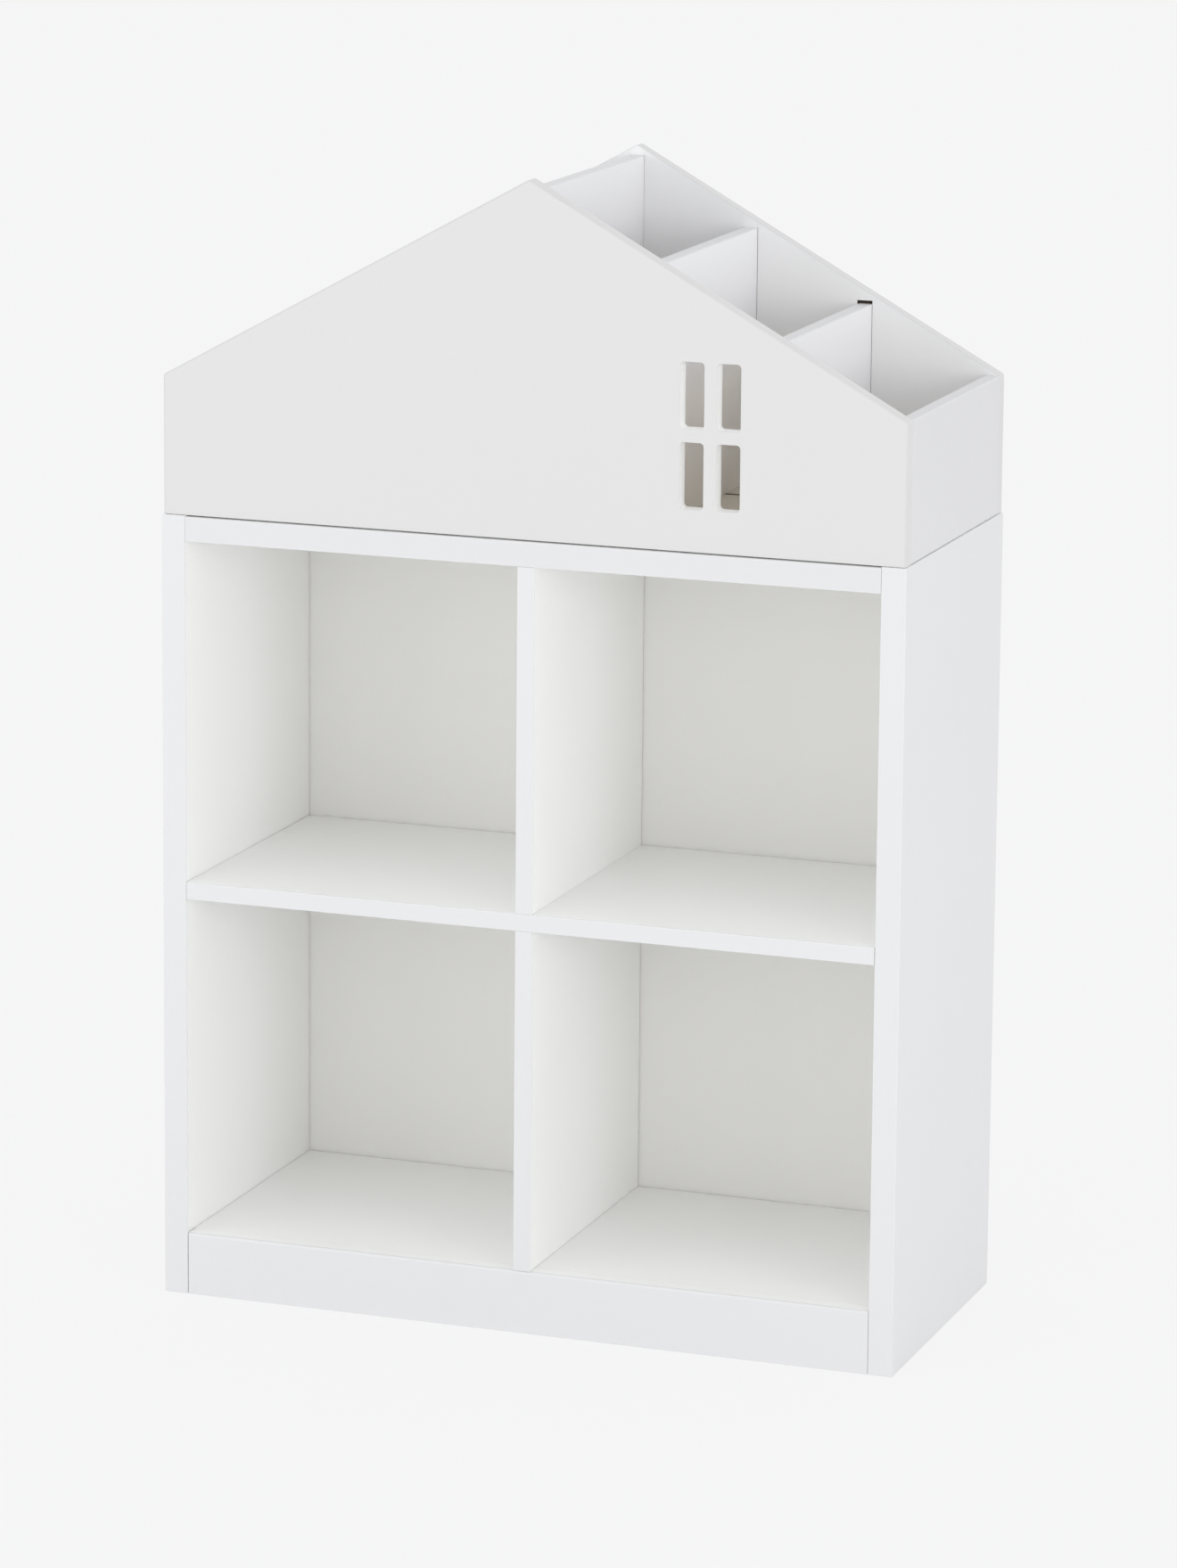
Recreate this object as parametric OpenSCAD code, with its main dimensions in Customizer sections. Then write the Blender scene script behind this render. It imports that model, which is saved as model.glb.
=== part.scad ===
// House shaped bookcase: a four-cell case of painted board with a gabled,
// open-topped box of six compartments on it. All lengths are in millimetres.
// The origin is on the floor under the middle of the case. +X is to the right,
// +Y to the back and +Z up.

/* [Case] */
// Width of the case over its side panels
case_width = 770; // [620:10:1000]
// Depth of the case from the front edges to the back edges
case_depth = 330; // [290:5:420]
// Height of the side panels
case_height = 800; // [660:10:1000]
// Thickness of the side panels
side_t = 25; // [18:0.5:30]
// Thickness of the top board
top_t = 25; // [18:0.5:30]
// How far the top board lies below the top ends of the side panels
top_drop = 1; // [0:0.5:3]
// Thickness of the middle shelf
shelf_t = 18; // [18:0.5:25]
// Clear height of the lower cells, under the middle shelf
lower_cell_height = 346; // [250:2:400]
// Thickness of the centre dividers
centre_t = 18; // [15:0.5:25]
// Thickness of the bottom board
bottom_t = 18; // [18:0.5:25]
// Height of the plinth, whose top is level with the bottom board
plinth_height = 64; // [56:1:90]
// Thickness of the plinth
plinth_t = 18; // [15:0.5:25]
// Radius of the plinth's rounded top front edge
plinth_round = 3; // [1:0.5:6]
// Thickness of the rail under the back of the bottom board
rail_t = 18; // [15:0.5:25]

/* [Back panel] */
// Thickness of the back panel
back_t = 4; // [3:0.5:6]
// How far the back panel stands in from the back edges of the case
back_inset = 3; // [3:0.5:6]
// Width of the rebate that the back panel lies in
rebate_width = 8; // [8:0.5:12]
// Gap between the back panel's edges and the rebate
back_gap = 0.5; // [0.2:0.1:1]

/* [House box] */
// How far the box stands in from each side of the case
box_inset = 1.5; // [0:0.5:8]
// How far the front gable stands back from the front of the case
box_setback = 2.5; // [0:0.5:8]
// Thickness of the two gables
gable_t = 16; // [14:0.5:22]
// Height of the gables at the eaves
eave_height = 140; // [124:2:200]
// Rise of the gables from the eaves to the ridge
roof_rise = 212; // [164:4:300]
// Radius of the gables' eased edges
gable_ease = 2; // [0.5:0.25:3]
// Thickness of the box sides
box_side_t = 15; // [14:0.5:20]
// Thickness of the dividers of the box
box_divider_t = 15; // [12:0.5:20]
// Distance between the centres of neighbouring dividers
divider_pitch = 121; // [90:1:124]
// How far the groove ends lie below the slope of the gables
groove_drop = 6.5; // [2:0.5:15]
// How far the two outer dividers stop short of their groove ends
outer_short = 3.5; // [0:0.5:8]
// Depth of the grooves that hold the dividers
groove_depth = 6; // [3:0.5:8]
// Thickness of the floor boards
floor_t = 18; // [15:0.5:22]
// Depth of the front floor board
front_floor_depth = 203; // [170:1:205]
// Width of the open joint between the two floor boards
floor_joint = 3; // [0.5:0.5:6]
// Gap that the box sides and floor keep above the case
shadow_gap = 1; // [0:0.25:3]

/* [Window] */
// Width of one pane
pane_width = 24; // [16:1:32]
// Height of one pane
pane_height = 65; // [40:1:72]
// Width of the bars between the panes
pane_bar = 13; // [8:1:16]
// Radius of the corners of a pane
pane_corner = 4; // [2:0.5:7]
// Distance of the window's centre to the right of the ridge
window_x = 186; // [120:0.5:188]
// Height of the window's centre over the bottom of the gable
window_z = 113.5; // [96:0.5:120]

/* [Edges and fits] */
// Radius of the eased edges of the boards
ease_r = 1.5; // [0.5:0.25:3]
// Gap at each end of a board that fits between two panels
end_gap = 0.2; // [0.1:0.05:0.4]
// Gap round a divider in its groove
groove_gap = 0.5; // [0.2:0.1:0.8]
// Gap between a dowel, bolt, cam or screw and its hole, on the radius
bore_gap = 0.1; // [0.05:0.05:0.2]
// Free space past the end of a dowel, bolt or screw in its hole
hole_end_gap = 0.5; // [0.2:0.1:1]

/* [Dowels] */
// Diameter of the wooden dowels
dowel_d = 8; // [6:0.5:8]
// Length of a dowel in the edge of one board
dowel_edge_depth = 20; // [14:1:22]
// Length of a dowel in the face of the other board
dowel_face_depth = 10; // [6:1:11]
// Distance of the dowels in the upper centre divider from the middle of its depth
upper_spread = 100; // [90:5:110]
// Distance of the dowels in the lower centre divider from the middle of its depth
lower_spread = 70; // [40:5:75]
// Distance between the dowels, and between the screws, along the bottom board
plinth_pitch = 240; // [180:5:250]

/* [Cam fittings] */
// Distance of the cam fittings from the front and back ends of a board
cam_margin = 50; // [40:1:70]
// Distance of a cam's centre from the end of its board
cam_setback = 34; // [24:1:34]
// Height of the cam bolts over the underside of their board
bolt_height = 9; // [8:0.5:9]
// Diameter of a cam
cam_d = 15; // [12:0.5:16]
// Depth of a cam in its board
cam_depth = 13; // [12:0.5:13.5]
// Diameter of the shank of a cam bolt
bolt_shank_d = 6; // [5:0.5:7]
// Diameter of the neck of a cam bolt, which the cam grips
bolt_neck_d = 3.5; // [2.5:0.5:4]
// Diameter of the threaded end of a cam bolt
bolt_thread_d = 5; // [4:0.5:6]
// Length of the threaded end of a cam bolt
bolt_thread_depth = 11; // [8:0.5:13]
// Length of the neck of a cam bolt
bolt_neck_length = 5; // [3:0.5:6]
// Length of the head of a cam bolt
bolt_head_length = 2; // [1.5:0.5:3]
// Width of the driver slots in a cam
cam_slot_width = 1.4; // [1:0.1:2]
// Depth of the driver slots in a cam
cam_slot_depth = 2; // [1:0.25:3]

/* [Screws] */
// Diameter of the shank of the long wood screws
screw_d = 4; // [3.5:0.5:4.5]
// Diameter of the countersunk head of the long wood screws
screw_head_d = 8; // [7:0.5:9]
// Length of the long wood screws
screw_length = 38; // [34:1:38]
// Diameter of the shank of the back panel screws
pin_d = 3; // [2.5:0.5:3.5]
// Diameter of the round head of the back panel screws
pin_head_d = 6.4; // [5:0.2:7]
// Height of the round head of the back panel screws
pin_head_height = 2; // [1:0.25:2.5]
// Length of the back panel screws under the head
pin_length = 16; // [12:1:20]
// Distance of the top and bottom screws at the sides from the back panel's ends
pin_margin = 60; // [40:5:100]
// Distance of the box fixing screws from the inner faces of the side panels
fixing_inset = 80; // [60:5:110]

/* [Hidden] */
$fn = 32;

// How far cuts run past the faces that they open.
cut = 1;

// Dividers on each side of the ridge, and screws down each side of the back panel.
side_dividers = 2;
side_screws = 4;

paint = "whitesmoke";
back_paint = "gainsboro";
beech = "burlywood";
steel = "silver";

// Planes of the case, from the front to the back.
front_y = -case_depth / 2;
back_y = case_depth / 2;
panel_back_y = back_y - back_inset;
panel_front_y = panel_back_y - back_t;
inner_depth = panel_front_y - front_y;

// Heights of the undersides of the level boards.
bottom_z = plinth_height - bottom_t;
shelf_z = plinth_height + lower_cell_height;
top_z = case_height - top_drop - top_t;
upper_cell_z = shelf_z + shelf_t;

// Half the clear width between the side panels.
inner_x = case_width / 2 - side_t;

// The back panel's rebate reaches past the clear opening by its width.
panel_x = inner_x + rebate_width - back_gap;
panel_bottom_z = bottom_z;
panel_top_z = top_z + rebate_width - back_gap;

// Planes of the box.
box_x = case_width / 2 - box_inset;
box_inner_x = box_x - box_side_t;
box_front_y = front_y + box_setback;
box_inner_front_y = box_front_y + gable_t;
box_inner_back_y = back_y - gable_t;
box_inner_depth = box_inner_back_y - box_inner_front_y;
box_z = case_height;
floor_z = box_z + shadow_gap;
floor_top_z = floor_z + floor_t;
rear_floor_y = box_inner_front_y + front_floor_depth + floor_joint;
ridge_height = eave_height + roof_rise;
slope_angle = atan(roof_rise / box_x);

// Height of the gable's slope over the bottom of the gable, at a distance x from the ridge.
function slope_height(x) = ridge_height - roof_rise * x / box_x;

// Height of the end of the groove for the divider that stands n pitches from the ridge.
function groove_end_z(n) =
  box_z + slope_height(abs(n) * divider_pitch + box_divider_t / 2) - groove_drop;

// Height of the top of that divider: the outer ones are short.
function divider_top_z(n) = groove_end_z(n) - (abs(n) == side_dividers ? outer_short : 0);

// Dowel joints, each as its place on the joint's plane and its direction into the face.
middle_y = front_y + inner_depth / 2;
board_undersides = [bottom_z, shelf_z, top_z];
board_dowels = [
  for (s = [-1, 1], z = board_undersides) [[s * inner_x, middle_y, z + bolt_height], [s, 0, 0]]
];
plinth_end_dowels = [
  for (s = [-1, 1], part = [1 / 4, 3 / 4])
    [[s * inner_x, front_y + plinth_t / 2, plinth_height * part], [s, 0, 0]]
];
plinth_board_dowels = [
  for (i = [-1:1]) [[i * plinth_pitch, front_y + plinth_t, bottom_z + bottom_t / 2], [0, -1, 0]]
];
rail_end_dowels = [
  for (s = [-1, 1]) [[s * inner_x, panel_front_y - rail_t / 2, bottom_z / 2], [s, 0, 0]]
];
rail_board_dowels = [
  for (i = [-1, 1]) [[i * plinth_pitch * 3 / 4, panel_front_y - rail_t / 2, bottom_z], [0, 0, 1]]
];
lower_divider_dowels = [
  for (s = [-1, 1], end = [[plinth_height, -1], [shelf_z, 1]])
    [[0, middle_y + s * lower_spread, end[0]], [0, 0, end[1]]]
];
upper_divider_dowels = [
  for (s = [-1, 1], end = [[upper_cell_z, -1], [top_z, 1]])
    [[0, middle_y + s * upper_spread, end[0]], [0, 0, end[1]]]
];
case_dowel_joints = concat(
  board_dowels, plinth_end_dowels, plinth_board_dowels, rail_end_dowels, rail_board_dowels,
  lower_divider_dowels, upper_divider_dowels
);

// Dowels of the box: gables to sides, gables to floor boards, sides to floor boards.
side_dowel_z = [floor_z + eave_height / 4, floor_z + eave_height * 3 / 4];
gable_planes = [[box_inner_front_y, -1], [box_inner_back_y, 1]];
floor_dowel_x = [divider_pitch / 2, divider_pitch * 3 / 2];
floor_side_dowel_y = [
  box_inner_front_y + front_floor_depth / 4,
  box_inner_front_y + front_floor_depth * 3 / 4,
  (rear_floor_y + box_inner_back_y) / 2
];
gable_side_dowels = [
  for (s = [-1, 1], z = side_dowel_z, plane = gable_planes)
    [[s * (box_x - box_side_t / 2), plane[0], z], [0, plane[1], 0]]
];
gable_floor_dowels = [
  for (s = [-1, 1], x = floor_dowel_x, plane = gable_planes)
    [[s * x, plane[0], floor_z + floor_t / 2], [0, plane[1], 0]]
];
side_floor_dowels = [
  for (s = [-1, 1], y = floor_side_dowel_y) [[s * box_inner_x, y, floor_z + floor_t / 2], [s, 0, 0]]
];
box_dowel_joints = concat(gable_side_dowels, gable_floor_dowels, side_floor_dowels);

// Cam bolt joints: two at each end of the three level boards.
bolt_joints = [
  for (s = [-1, 1], z = board_undersides, y = [front_y + cam_margin, panel_front_y - cam_margin])
    [[s * inner_x, y, z + bolt_height], [s, 0, 0]]
];
bolt_reach = cam_setback + bolt_head_length;
screw_head_height = (screw_head_d - screw_d) / 2;

// Places of the long screws, under their heads. All are driven upwards, in two rows each.
rear_floor_depth = box_inner_back_y - rear_floor_y;
divider_rows = [box_inner_front_y + front_floor_depth / 2, rear_floor_y + rear_floor_depth / 3];
fixing_rows = [box_inner_front_y + front_floor_depth / 4, rear_floor_y + rear_floor_depth * 2 / 3];
divider_screw_places = [
  for (n = [-side_dividers:side_dividers], y = divider_rows) [n * divider_pitch, y, floor_z]
];
fixing_screw_places = [for (s = [-1, 1], y = fixing_rows) [s * (inner_x - fixing_inset), y, top_z]];

// Places of the back panel screws, as x and z.
pin_edge = rebate_width / 2;
pin_side_step = (panel_top_z - panel_bottom_z - 2 * pin_margin) / (side_screws - 1);
pin_places = concat(
  [for (s = [-1, 1], i = [0:side_screws - 1])
    [s * (inner_x + pin_edge), panel_bottom_z + pin_margin + i * pin_side_step]],
  [for (i = [-1:1], z = [bottom_z + bottom_t / 2, shelf_z + shelf_t / 2, top_z + pin_edge])
    [i * plinth_pitch, z]]
);

// Turns what stands along +Z to point in the direction given.
module aim(direction) {
  rotate([0, acos(direction[2]), atan2(direction[1], direction[0])]) children();
}

// Section of a board: x runs in from its eased edge, y across its thickness.
module eased_section(depth, thickness, r) {
  translate([r, 0]) square([depth - r, thickness]);
  translate([0, r]) square([depth, thickness - 2 * r]);
  for (y = [r, thickness - r]) translate([r, y]) circle(r);
}

// Rectangle with round corners, from its lower left corner.
module rounded_rectangle(width, height, r) {
  translate([r, 0]) square([width - 2 * r, height]);
  translate([0, r]) square([width, height - 2 * r]);
  for (x = [r, width - r], y = [r, height - r]) translate([x, y]) circle(r);
}

// Upright board with its eased edges to the front.
module upright_board(thickness, depth, height) {
  translate([thickness, 0, 0]) rotate([0, 0, 90])
    linear_extrude(height) eased_section(depth, thickness, ease_r);
}

// Level board with its eased edges to the front.
module level_board(length, depth, thickness) {
  rotate([90, 0, 90]) linear_extrude(length) eased_section(depth, thickness, ease_r);
}

// Board that runs from front to back with its eased edges on top.
module crest_board(thickness, length, height) {
  translate([0, length, height]) rotate([90, 90, 0])
    linear_extrude(length) eased_section(height, thickness, ease_r);
}

module dowel(joint) {
  translate(joint[0]) aim(joint[1]) translate([0, 0, -dowel_edge_depth])
    cylinder(h = dowel_edge_depth + dowel_face_depth, d = dowel_d);
}

// Holes for a list of dowel joints. Each runs into both boards.
module dowel_holes(joints) {
  for (joint = joints)
    translate(joint[0]) aim(joint[1]) translate([0, 0, -dowel_edge_depth - hole_end_gap])
      cylinder(h = dowel_edge_depth + dowel_face_depth + 2 * hole_end_gap, d = dowel_d + 2 * bore_gap);
}

// Cam bolt, with its thread in the side panel and its neck and head in the cam.
module cam_bolt(joint) {
  translate(joint[0]) aim(joint[1]) {
    cylinder(h = bolt_thread_depth, d = bolt_thread_d);
    translate([0, 0, -cam_setback + bolt_neck_length])
      cylinder(h = cam_setback - bolt_neck_length, d = bolt_shank_d);
    translate([0, 0, -cam_setback]) cylinder(h = bolt_neck_length, d = bolt_neck_d);
    translate([0, 0, -bolt_reach]) cylinder(h = bolt_head_length, d = bolt_shank_d);
  }
}

// Holes for the cam bolts: the thread's in the side panel and the shank's in the board.
module bolt_holes() {
  for (joint = bolt_joints)
    translate(joint[0]) aim(joint[1]) {
      cylinder(h = bolt_thread_depth + hole_end_gap, d = bolt_thread_d + 2 * bore_gap);
      translate([0, 0, -bolt_reach - hole_end_gap])
        cylinder(h = bolt_reach + hole_end_gap, d = bolt_shank_d + 2 * bore_gap);
    }
}

// Place of a cam on the underside of its board.
function cam_place(joint) =
  [joint[0][0] - joint[1][0] * cam_setback, joint[0][1], joint[0][2] - bolt_height];

module cam_holes() {
  for (joint = bolt_joints)
    translate(cam_place(joint)) translate([0, 0, -cut])
      cylinder(h = cam_depth + hole_end_gap + cut, d = cam_d + 2 * bore_gap);
}

// Cam, with its crossed driver slots below and its way in for the bolt's head.
module cam(joint) {
  difference() {
    translate(cam_place(joint)) cylinder(h = cam_depth, d = cam_d);
    translate(joint[0]) aim(joint[1]) translate([0, 0, -bolt_reach - hole_end_gap])
      cylinder(h = bolt_reach + hole_end_gap, d = bolt_shank_d + 2 * bore_gap);
    for (turn = [0, 90])
      translate(cam_place(joint)) rotate([0, 0, turn])
        translate([-cam_d / 3, -cam_slot_width / 2, -cut])
          cube([cam_d * 2 / 3, cam_slot_width, cam_slot_depth + cut]);
  }
}

// Countersunk wood screw, driven upwards from the place under its head.
module wood_screw(place) {
  translate(place) {
    cylinder(h = screw_length, d = screw_d);
    cylinder(h = screw_head_height, d1 = screw_head_d, d2 = screw_d);
  }
}

module wood_screw_holes(places) {
  for (place = places)
    translate(place) {
      cylinder(h = screw_length + hole_end_gap, d = screw_d + 2 * bore_gap);
      cylinder(h = screw_head_height, d1 = screw_head_d + 2 * bore_gap, d2 = screw_d + 2 * bore_gap);
      translate([0, 0, -cut]) cylinder(h = cut, d = screw_head_d + 2 * bore_gap);
    }
}

// Round-headed screw that holds the back panel, driven forwards.
module back_screw(place) {
  translate([place[0], panel_back_y, place[1]]) rotate([90, 0, 0]) {
    cylinder(h = pin_length, d = pin_d);
    translate([0, 0, -pin_head_height])
      cylinder(h = pin_head_height, d1 = (pin_d + pin_head_d) / 2, d2 = pin_head_d);
  }
}

module back_screw_holes() {
  for (place = pin_places)
    translate([place[0], panel_back_y + cut, place[1]]) rotate([90, 0, 0])
      cylinder(h = pin_length + hole_end_gap + cut, d = pin_d + 2 * bore_gap);
}

// Rebate for the back panel, open to the back.
module back_rebate() {
  translate([-inner_x - rebate_width, panel_front_y, panel_bottom_z - back_gap])
    cube([2 * (inner_x + rebate_width), back_inset + back_t + cut,
          panel_top_z - panel_bottom_z + 2 * back_gap]);
}

// Side panel on the side given as -1 or 1, bored on its inner face.
module side_panel(side) {
  color(paint) difference() {
    translate([side * (case_width - side_t) / 2 - side_t / 2, front_y, 0])
      upright_board(side_t, case_depth, case_height);
    back_rebate();
    dowel_holes(concat(board_dowels, plinth_end_dowels, rail_end_dowels));
    bolt_holes();
    back_screw_holes();
  }
}

module left_side_panel() { side_panel(-1); }

module right_side_panel() { side_panel(1); }

module top_board() {
  color(paint) difference() {
    translate([-inner_x + end_gap, front_y, top_z])
      level_board(2 * (inner_x - end_gap), case_depth, top_t);
    back_rebate();
    dowel_holes(concat(board_dowels, upper_divider_dowels));
    bolt_holes();
    cam_holes();
    back_screw_holes();
    wood_screw_holes(fixing_screw_places);
  }
}

module middle_shelf() {
  color(paint) difference() {
    translate([-inner_x + end_gap, front_y, shelf_z])
      level_board(2 * (inner_x - end_gap), inner_depth, shelf_t);
    dowel_holes(concat(board_dowels, upper_divider_dowels, lower_divider_dowels));
    bolt_holes();
    cam_holes();
    back_screw_holes();
  }
}

// Bottom board, which starts behind the plinth.
module bottom_board() {
  color(paint) difference() {
    translate([-inner_x + end_gap, front_y + plinth_t, bottom_z])
      cube([2 * (inner_x - end_gap), inner_depth - plinth_t, bottom_t]);
    dowel_holes(concat(board_dowels, plinth_board_dowels, rail_board_dowels, lower_divider_dowels));
    bolt_holes();
    cam_holes();
    back_screw_holes();
  }
}

// Plinth, flush with the side panels' front edges, with its top front edge rounded.
module plinth() {
  color(paint) difference() {
    translate([-inner_x + end_gap, front_y, 0]) rotate([90, 0, 90])
      linear_extrude(2 * (inner_x - end_gap)) {
        square([plinth_t, plinth_height - plinth_round]);
        translate([plinth_round, 0]) square([plinth_t - plinth_round, plinth_height]);
        translate([plinth_round, plinth_height - plinth_round]) circle(plinth_round);
      }
    dowel_holes(concat(plinth_end_dowels, plinth_board_dowels));
  }
}

// Rail that carries the back of the bottom board and stands on the floor.
module rear_rail() {
  color(paint) difference() {
    translate([-inner_x + end_gap, panel_front_y - rail_t, 0])
      cube([2 * (inner_x - end_gap), rail_t, bottom_z]);
    dowel_holes(concat(rail_end_dowels, rail_board_dowels));
  }
}

module upper_centre_divider() {
  color(paint) difference() {
    translate([-centre_t / 2, front_y, upper_cell_z])
      upright_board(centre_t, inner_depth, top_z - upper_cell_z);
    dowel_holes(upper_divider_dowels);
  }
}

module lower_centre_divider() {
  color(paint) difference() {
    translate([-centre_t / 2, front_y, plinth_height])
      upright_board(centre_t, inner_depth, shelf_z - plinth_height);
    dowel_holes(lower_divider_dowels);
  }
}

module back_panel() {
  color(back_paint) difference() {
    translate([-panel_x, panel_front_y, panel_bottom_z])
      cube([2 * panel_x, back_t, panel_top_z - panel_bottom_z]);
    back_screw_holes();
  }
}

// Everything that lies under the right-hand slope, with the slope's edges eased.
module under_slope() {
  reach = box_x + ridge_height;
  translate([0, 0, ridge_height]) rotate([0, slope_angle, 0]) translate([-reach, 0, 0])
    rotate([0, 90, 0]) linear_extrude(2 * reach) eased_section(reach, gable_t, gable_ease);
}

// Gable before it is cut: an eased upright board under the two slopes.
module gable_blank() {
  intersection() {
    translate([-box_x, 0, 0]) linear_extrude(ridge_height)
      rounded_rectangle(2 * box_x, gable_t, gable_ease);
    under_slope();
    mirror([1, 0, 0]) under_slope();
  }
}

// Stopped grooves for the dividers in a gable whose inner face is the plane given.
module divider_grooves(plane) {
  width = box_divider_t + 2 * groove_gap;
  for (n = [-side_dividers:side_dividers])
    translate([n * divider_pitch - width / 2, plane[0], floor_top_z])
      translate([0, plane[1] < 0 ? -groove_depth : -cut, 0])
        cube([width, groove_depth + cut, groove_end_z(n) - floor_top_z]);
}

// The four panes of the window, cut right through the front gable.
module window_panes() {
  for (i = [-1, 1], j = [-1, 1])
    translate([
      window_x + i * (pane_width + pane_bar) / 2 - pane_width / 2,
      box_front_y + gable_t + cut,
      box_z + window_z + j * (pane_height + pane_bar) / 2 - pane_height / 2
    ])
      rotate([90, 0, 0]) linear_extrude(gable_t + 2 * cut)
        rounded_rectangle(pane_width, pane_height, pane_corner);
}

module front_gable() {
  color(paint) difference() {
    translate([0, box_front_y, box_z]) gable_blank();
    window_panes();
    divider_grooves(gable_planes[0]);
    dowel_holes(concat(gable_side_dowels, gable_floor_dowels));
  }
}

module back_gable() {
  color(paint) difference() {
    translate([0, box_inner_back_y, box_z]) gable_blank();
    divider_grooves(gable_planes[1]);
    dowel_holes(concat(gable_side_dowels, gable_floor_dowels));
  }
}

// Side of the box on the side given as -1 or 1, between the gables.
module box_side(side) {
  color(paint) difference() {
    translate([side * (box_x - box_side_t / 2) - box_side_t / 2, box_inner_front_y, floor_z])
      crest_board(box_side_t, box_inner_depth, eave_height - shadow_gap);
    dowel_holes(concat(gable_side_dowels, side_floor_dowels));
  }
}

module left_box_side() { box_side(-1); }

module right_box_side() { box_side(1); }

// Divider that stands n pitches to the right of the ridge, with its ends in the grooves.
module box_divider(n) {
  tongue = groove_depth - groove_gap;
  color(paint) difference() {
    translate([n * divider_pitch - box_divider_t / 2, box_inner_front_y - tongue, floor_top_z])
      crest_board(box_divider_t, box_inner_depth + 2 * tongue, divider_top_z(n) - floor_top_z);
    wood_screw_holes(divider_screw_places);
  }
}

module left_outer_divider() { box_divider(-2); }

module left_inner_divider() { box_divider(-1); }

module ridge_divider() { box_divider(0); }

module right_inner_divider() { box_divider(1); }

module right_outer_divider() { box_divider(2); }

// Floor board of the box from the plane y, of the depth given.
module floor_board(y, depth) {
  color(paint) difference() {
    translate([-box_inner_x + end_gap, y, floor_z])
      cube([2 * (box_inner_x - end_gap), depth, floor_t]);
    dowel_holes(concat(gable_floor_dowels, side_floor_dowels));
    wood_screw_holes(divider_screw_places);
    wood_screw_holes(fixing_screw_places);
  }
}

module front_floor_board() { floor_board(box_inner_front_y, front_floor_depth); }

module rear_floor_board() { floor_board(rear_floor_y, rear_floor_depth); }

module cam_bolts() {
  color(steel) for (joint = bolt_joints) cam_bolt(joint);
}

module cams() {
  color(steel) for (joint = bolt_joints) cam(joint);
}

module case_dowels() {
  color(beech) for (joint = case_dowel_joints) dowel(joint);
}

module box_dowels() {
  color(beech) for (joint = box_dowel_joints) dowel(joint);
}

module box_divider_screws() {
  color(steel) for (place = divider_screw_places) wood_screw(place);
}

module box_fixing_screws() {
  color(steel) for (place = fixing_screw_places) wood_screw(place);
}

module back_panel_screws() {
  color(steel) for (place = pin_places) back_screw(place);
}

left_side_panel();
right_side_panel();
top_board();
middle_shelf();
bottom_board();
plinth();
rear_rail();
upper_centre_divider();
lower_centre_divider();
back_panel();
front_gable();
back_gable();
left_box_side();
right_box_side();
ridge_divider();
left_inner_divider();
left_outer_divider();
right_inner_divider();
right_outer_divider();
front_floor_board();
rear_floor_board();
cam_bolts();
cams();
case_dowels();
box_dowels();
box_divider_screws();
box_fixing_screws();
back_panel_screws();
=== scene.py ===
"""Finishes, light and camera of the house shaped bookcase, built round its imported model.

Lengths are in metres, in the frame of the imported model: z = 0 is the floor, -Y is the
front and +X the right-hand side. Each painted board is built again here with its
eased edges, openings and grooves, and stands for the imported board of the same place.
"""

import logging
import math
from collections.abc import Callable, Iterable, Mapping, Sequence
from dataclasses import dataclass, field, replace
from enum import Enum, IntEnum

import bmesh
import bpy
from mathutils import Matrix, Vector
from mathutils.geometry import tessellate_polygon


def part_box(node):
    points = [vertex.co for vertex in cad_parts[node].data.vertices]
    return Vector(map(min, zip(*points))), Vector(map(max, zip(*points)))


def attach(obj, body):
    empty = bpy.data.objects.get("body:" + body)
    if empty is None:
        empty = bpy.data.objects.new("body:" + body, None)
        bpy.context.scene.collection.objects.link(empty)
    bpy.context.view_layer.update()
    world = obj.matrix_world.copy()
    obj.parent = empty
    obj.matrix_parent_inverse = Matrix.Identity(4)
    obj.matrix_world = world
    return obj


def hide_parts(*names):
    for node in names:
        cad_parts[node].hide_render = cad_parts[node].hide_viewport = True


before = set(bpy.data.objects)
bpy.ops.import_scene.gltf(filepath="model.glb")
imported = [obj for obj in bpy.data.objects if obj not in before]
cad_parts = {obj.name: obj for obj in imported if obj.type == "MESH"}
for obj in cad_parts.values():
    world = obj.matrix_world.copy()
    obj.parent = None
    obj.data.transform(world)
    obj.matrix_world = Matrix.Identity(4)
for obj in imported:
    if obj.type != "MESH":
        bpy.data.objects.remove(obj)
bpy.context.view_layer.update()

LOG = logging.getLogger("bookcase")

BODY = "root"

Colour = tuple[float, float, float]
Paint = Colour | bpy.types.NodeSocket
Point = tuple[float, float, float]
Span = tuple[float, float]


class Side(Enum):
    """One side of a board, as its axis and its direction along that axis."""

    LEFT = (0, -1)
    RIGHT = (0, 1)
    FRONT = (1, -1)
    BACK = (1, 1)
    BOTTOM = (2, -1)
    TOP = (2, 1)

    @property
    def axis(self) -> int:
        """Axis that the side is square to."""
        return self.value[0]

    @property
    def sign(self) -> int:
        """Direction of the side along its axis."""
        return self.value[1]


class Slot(Enum):
    """Material slots of the record."""

    CASE_PAINT = "case_paint"
    BACK_PANEL_PAINT = "back_panel_paint"
    BOX_PAINT = "box_paint"
    ZINC_STEEL = "zinc_steel"
    BEECH = "beech"


def square_block(low: Vector, high: Vector) -> bmesh.types.BMesh:
    """Builds a square block.

    Args:
        low: its lowest corner.
        high: its highest corner.

    Returns:
        The block.
    """
    shape = bmesh.new()
    place = Matrix.Translation((low + high) / 2) @ Matrix.Diagonal((*(high - low), 1.0))
    bmesh.ops.create_cube(shape, size=1.0, matrix=place)
    return shape


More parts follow.
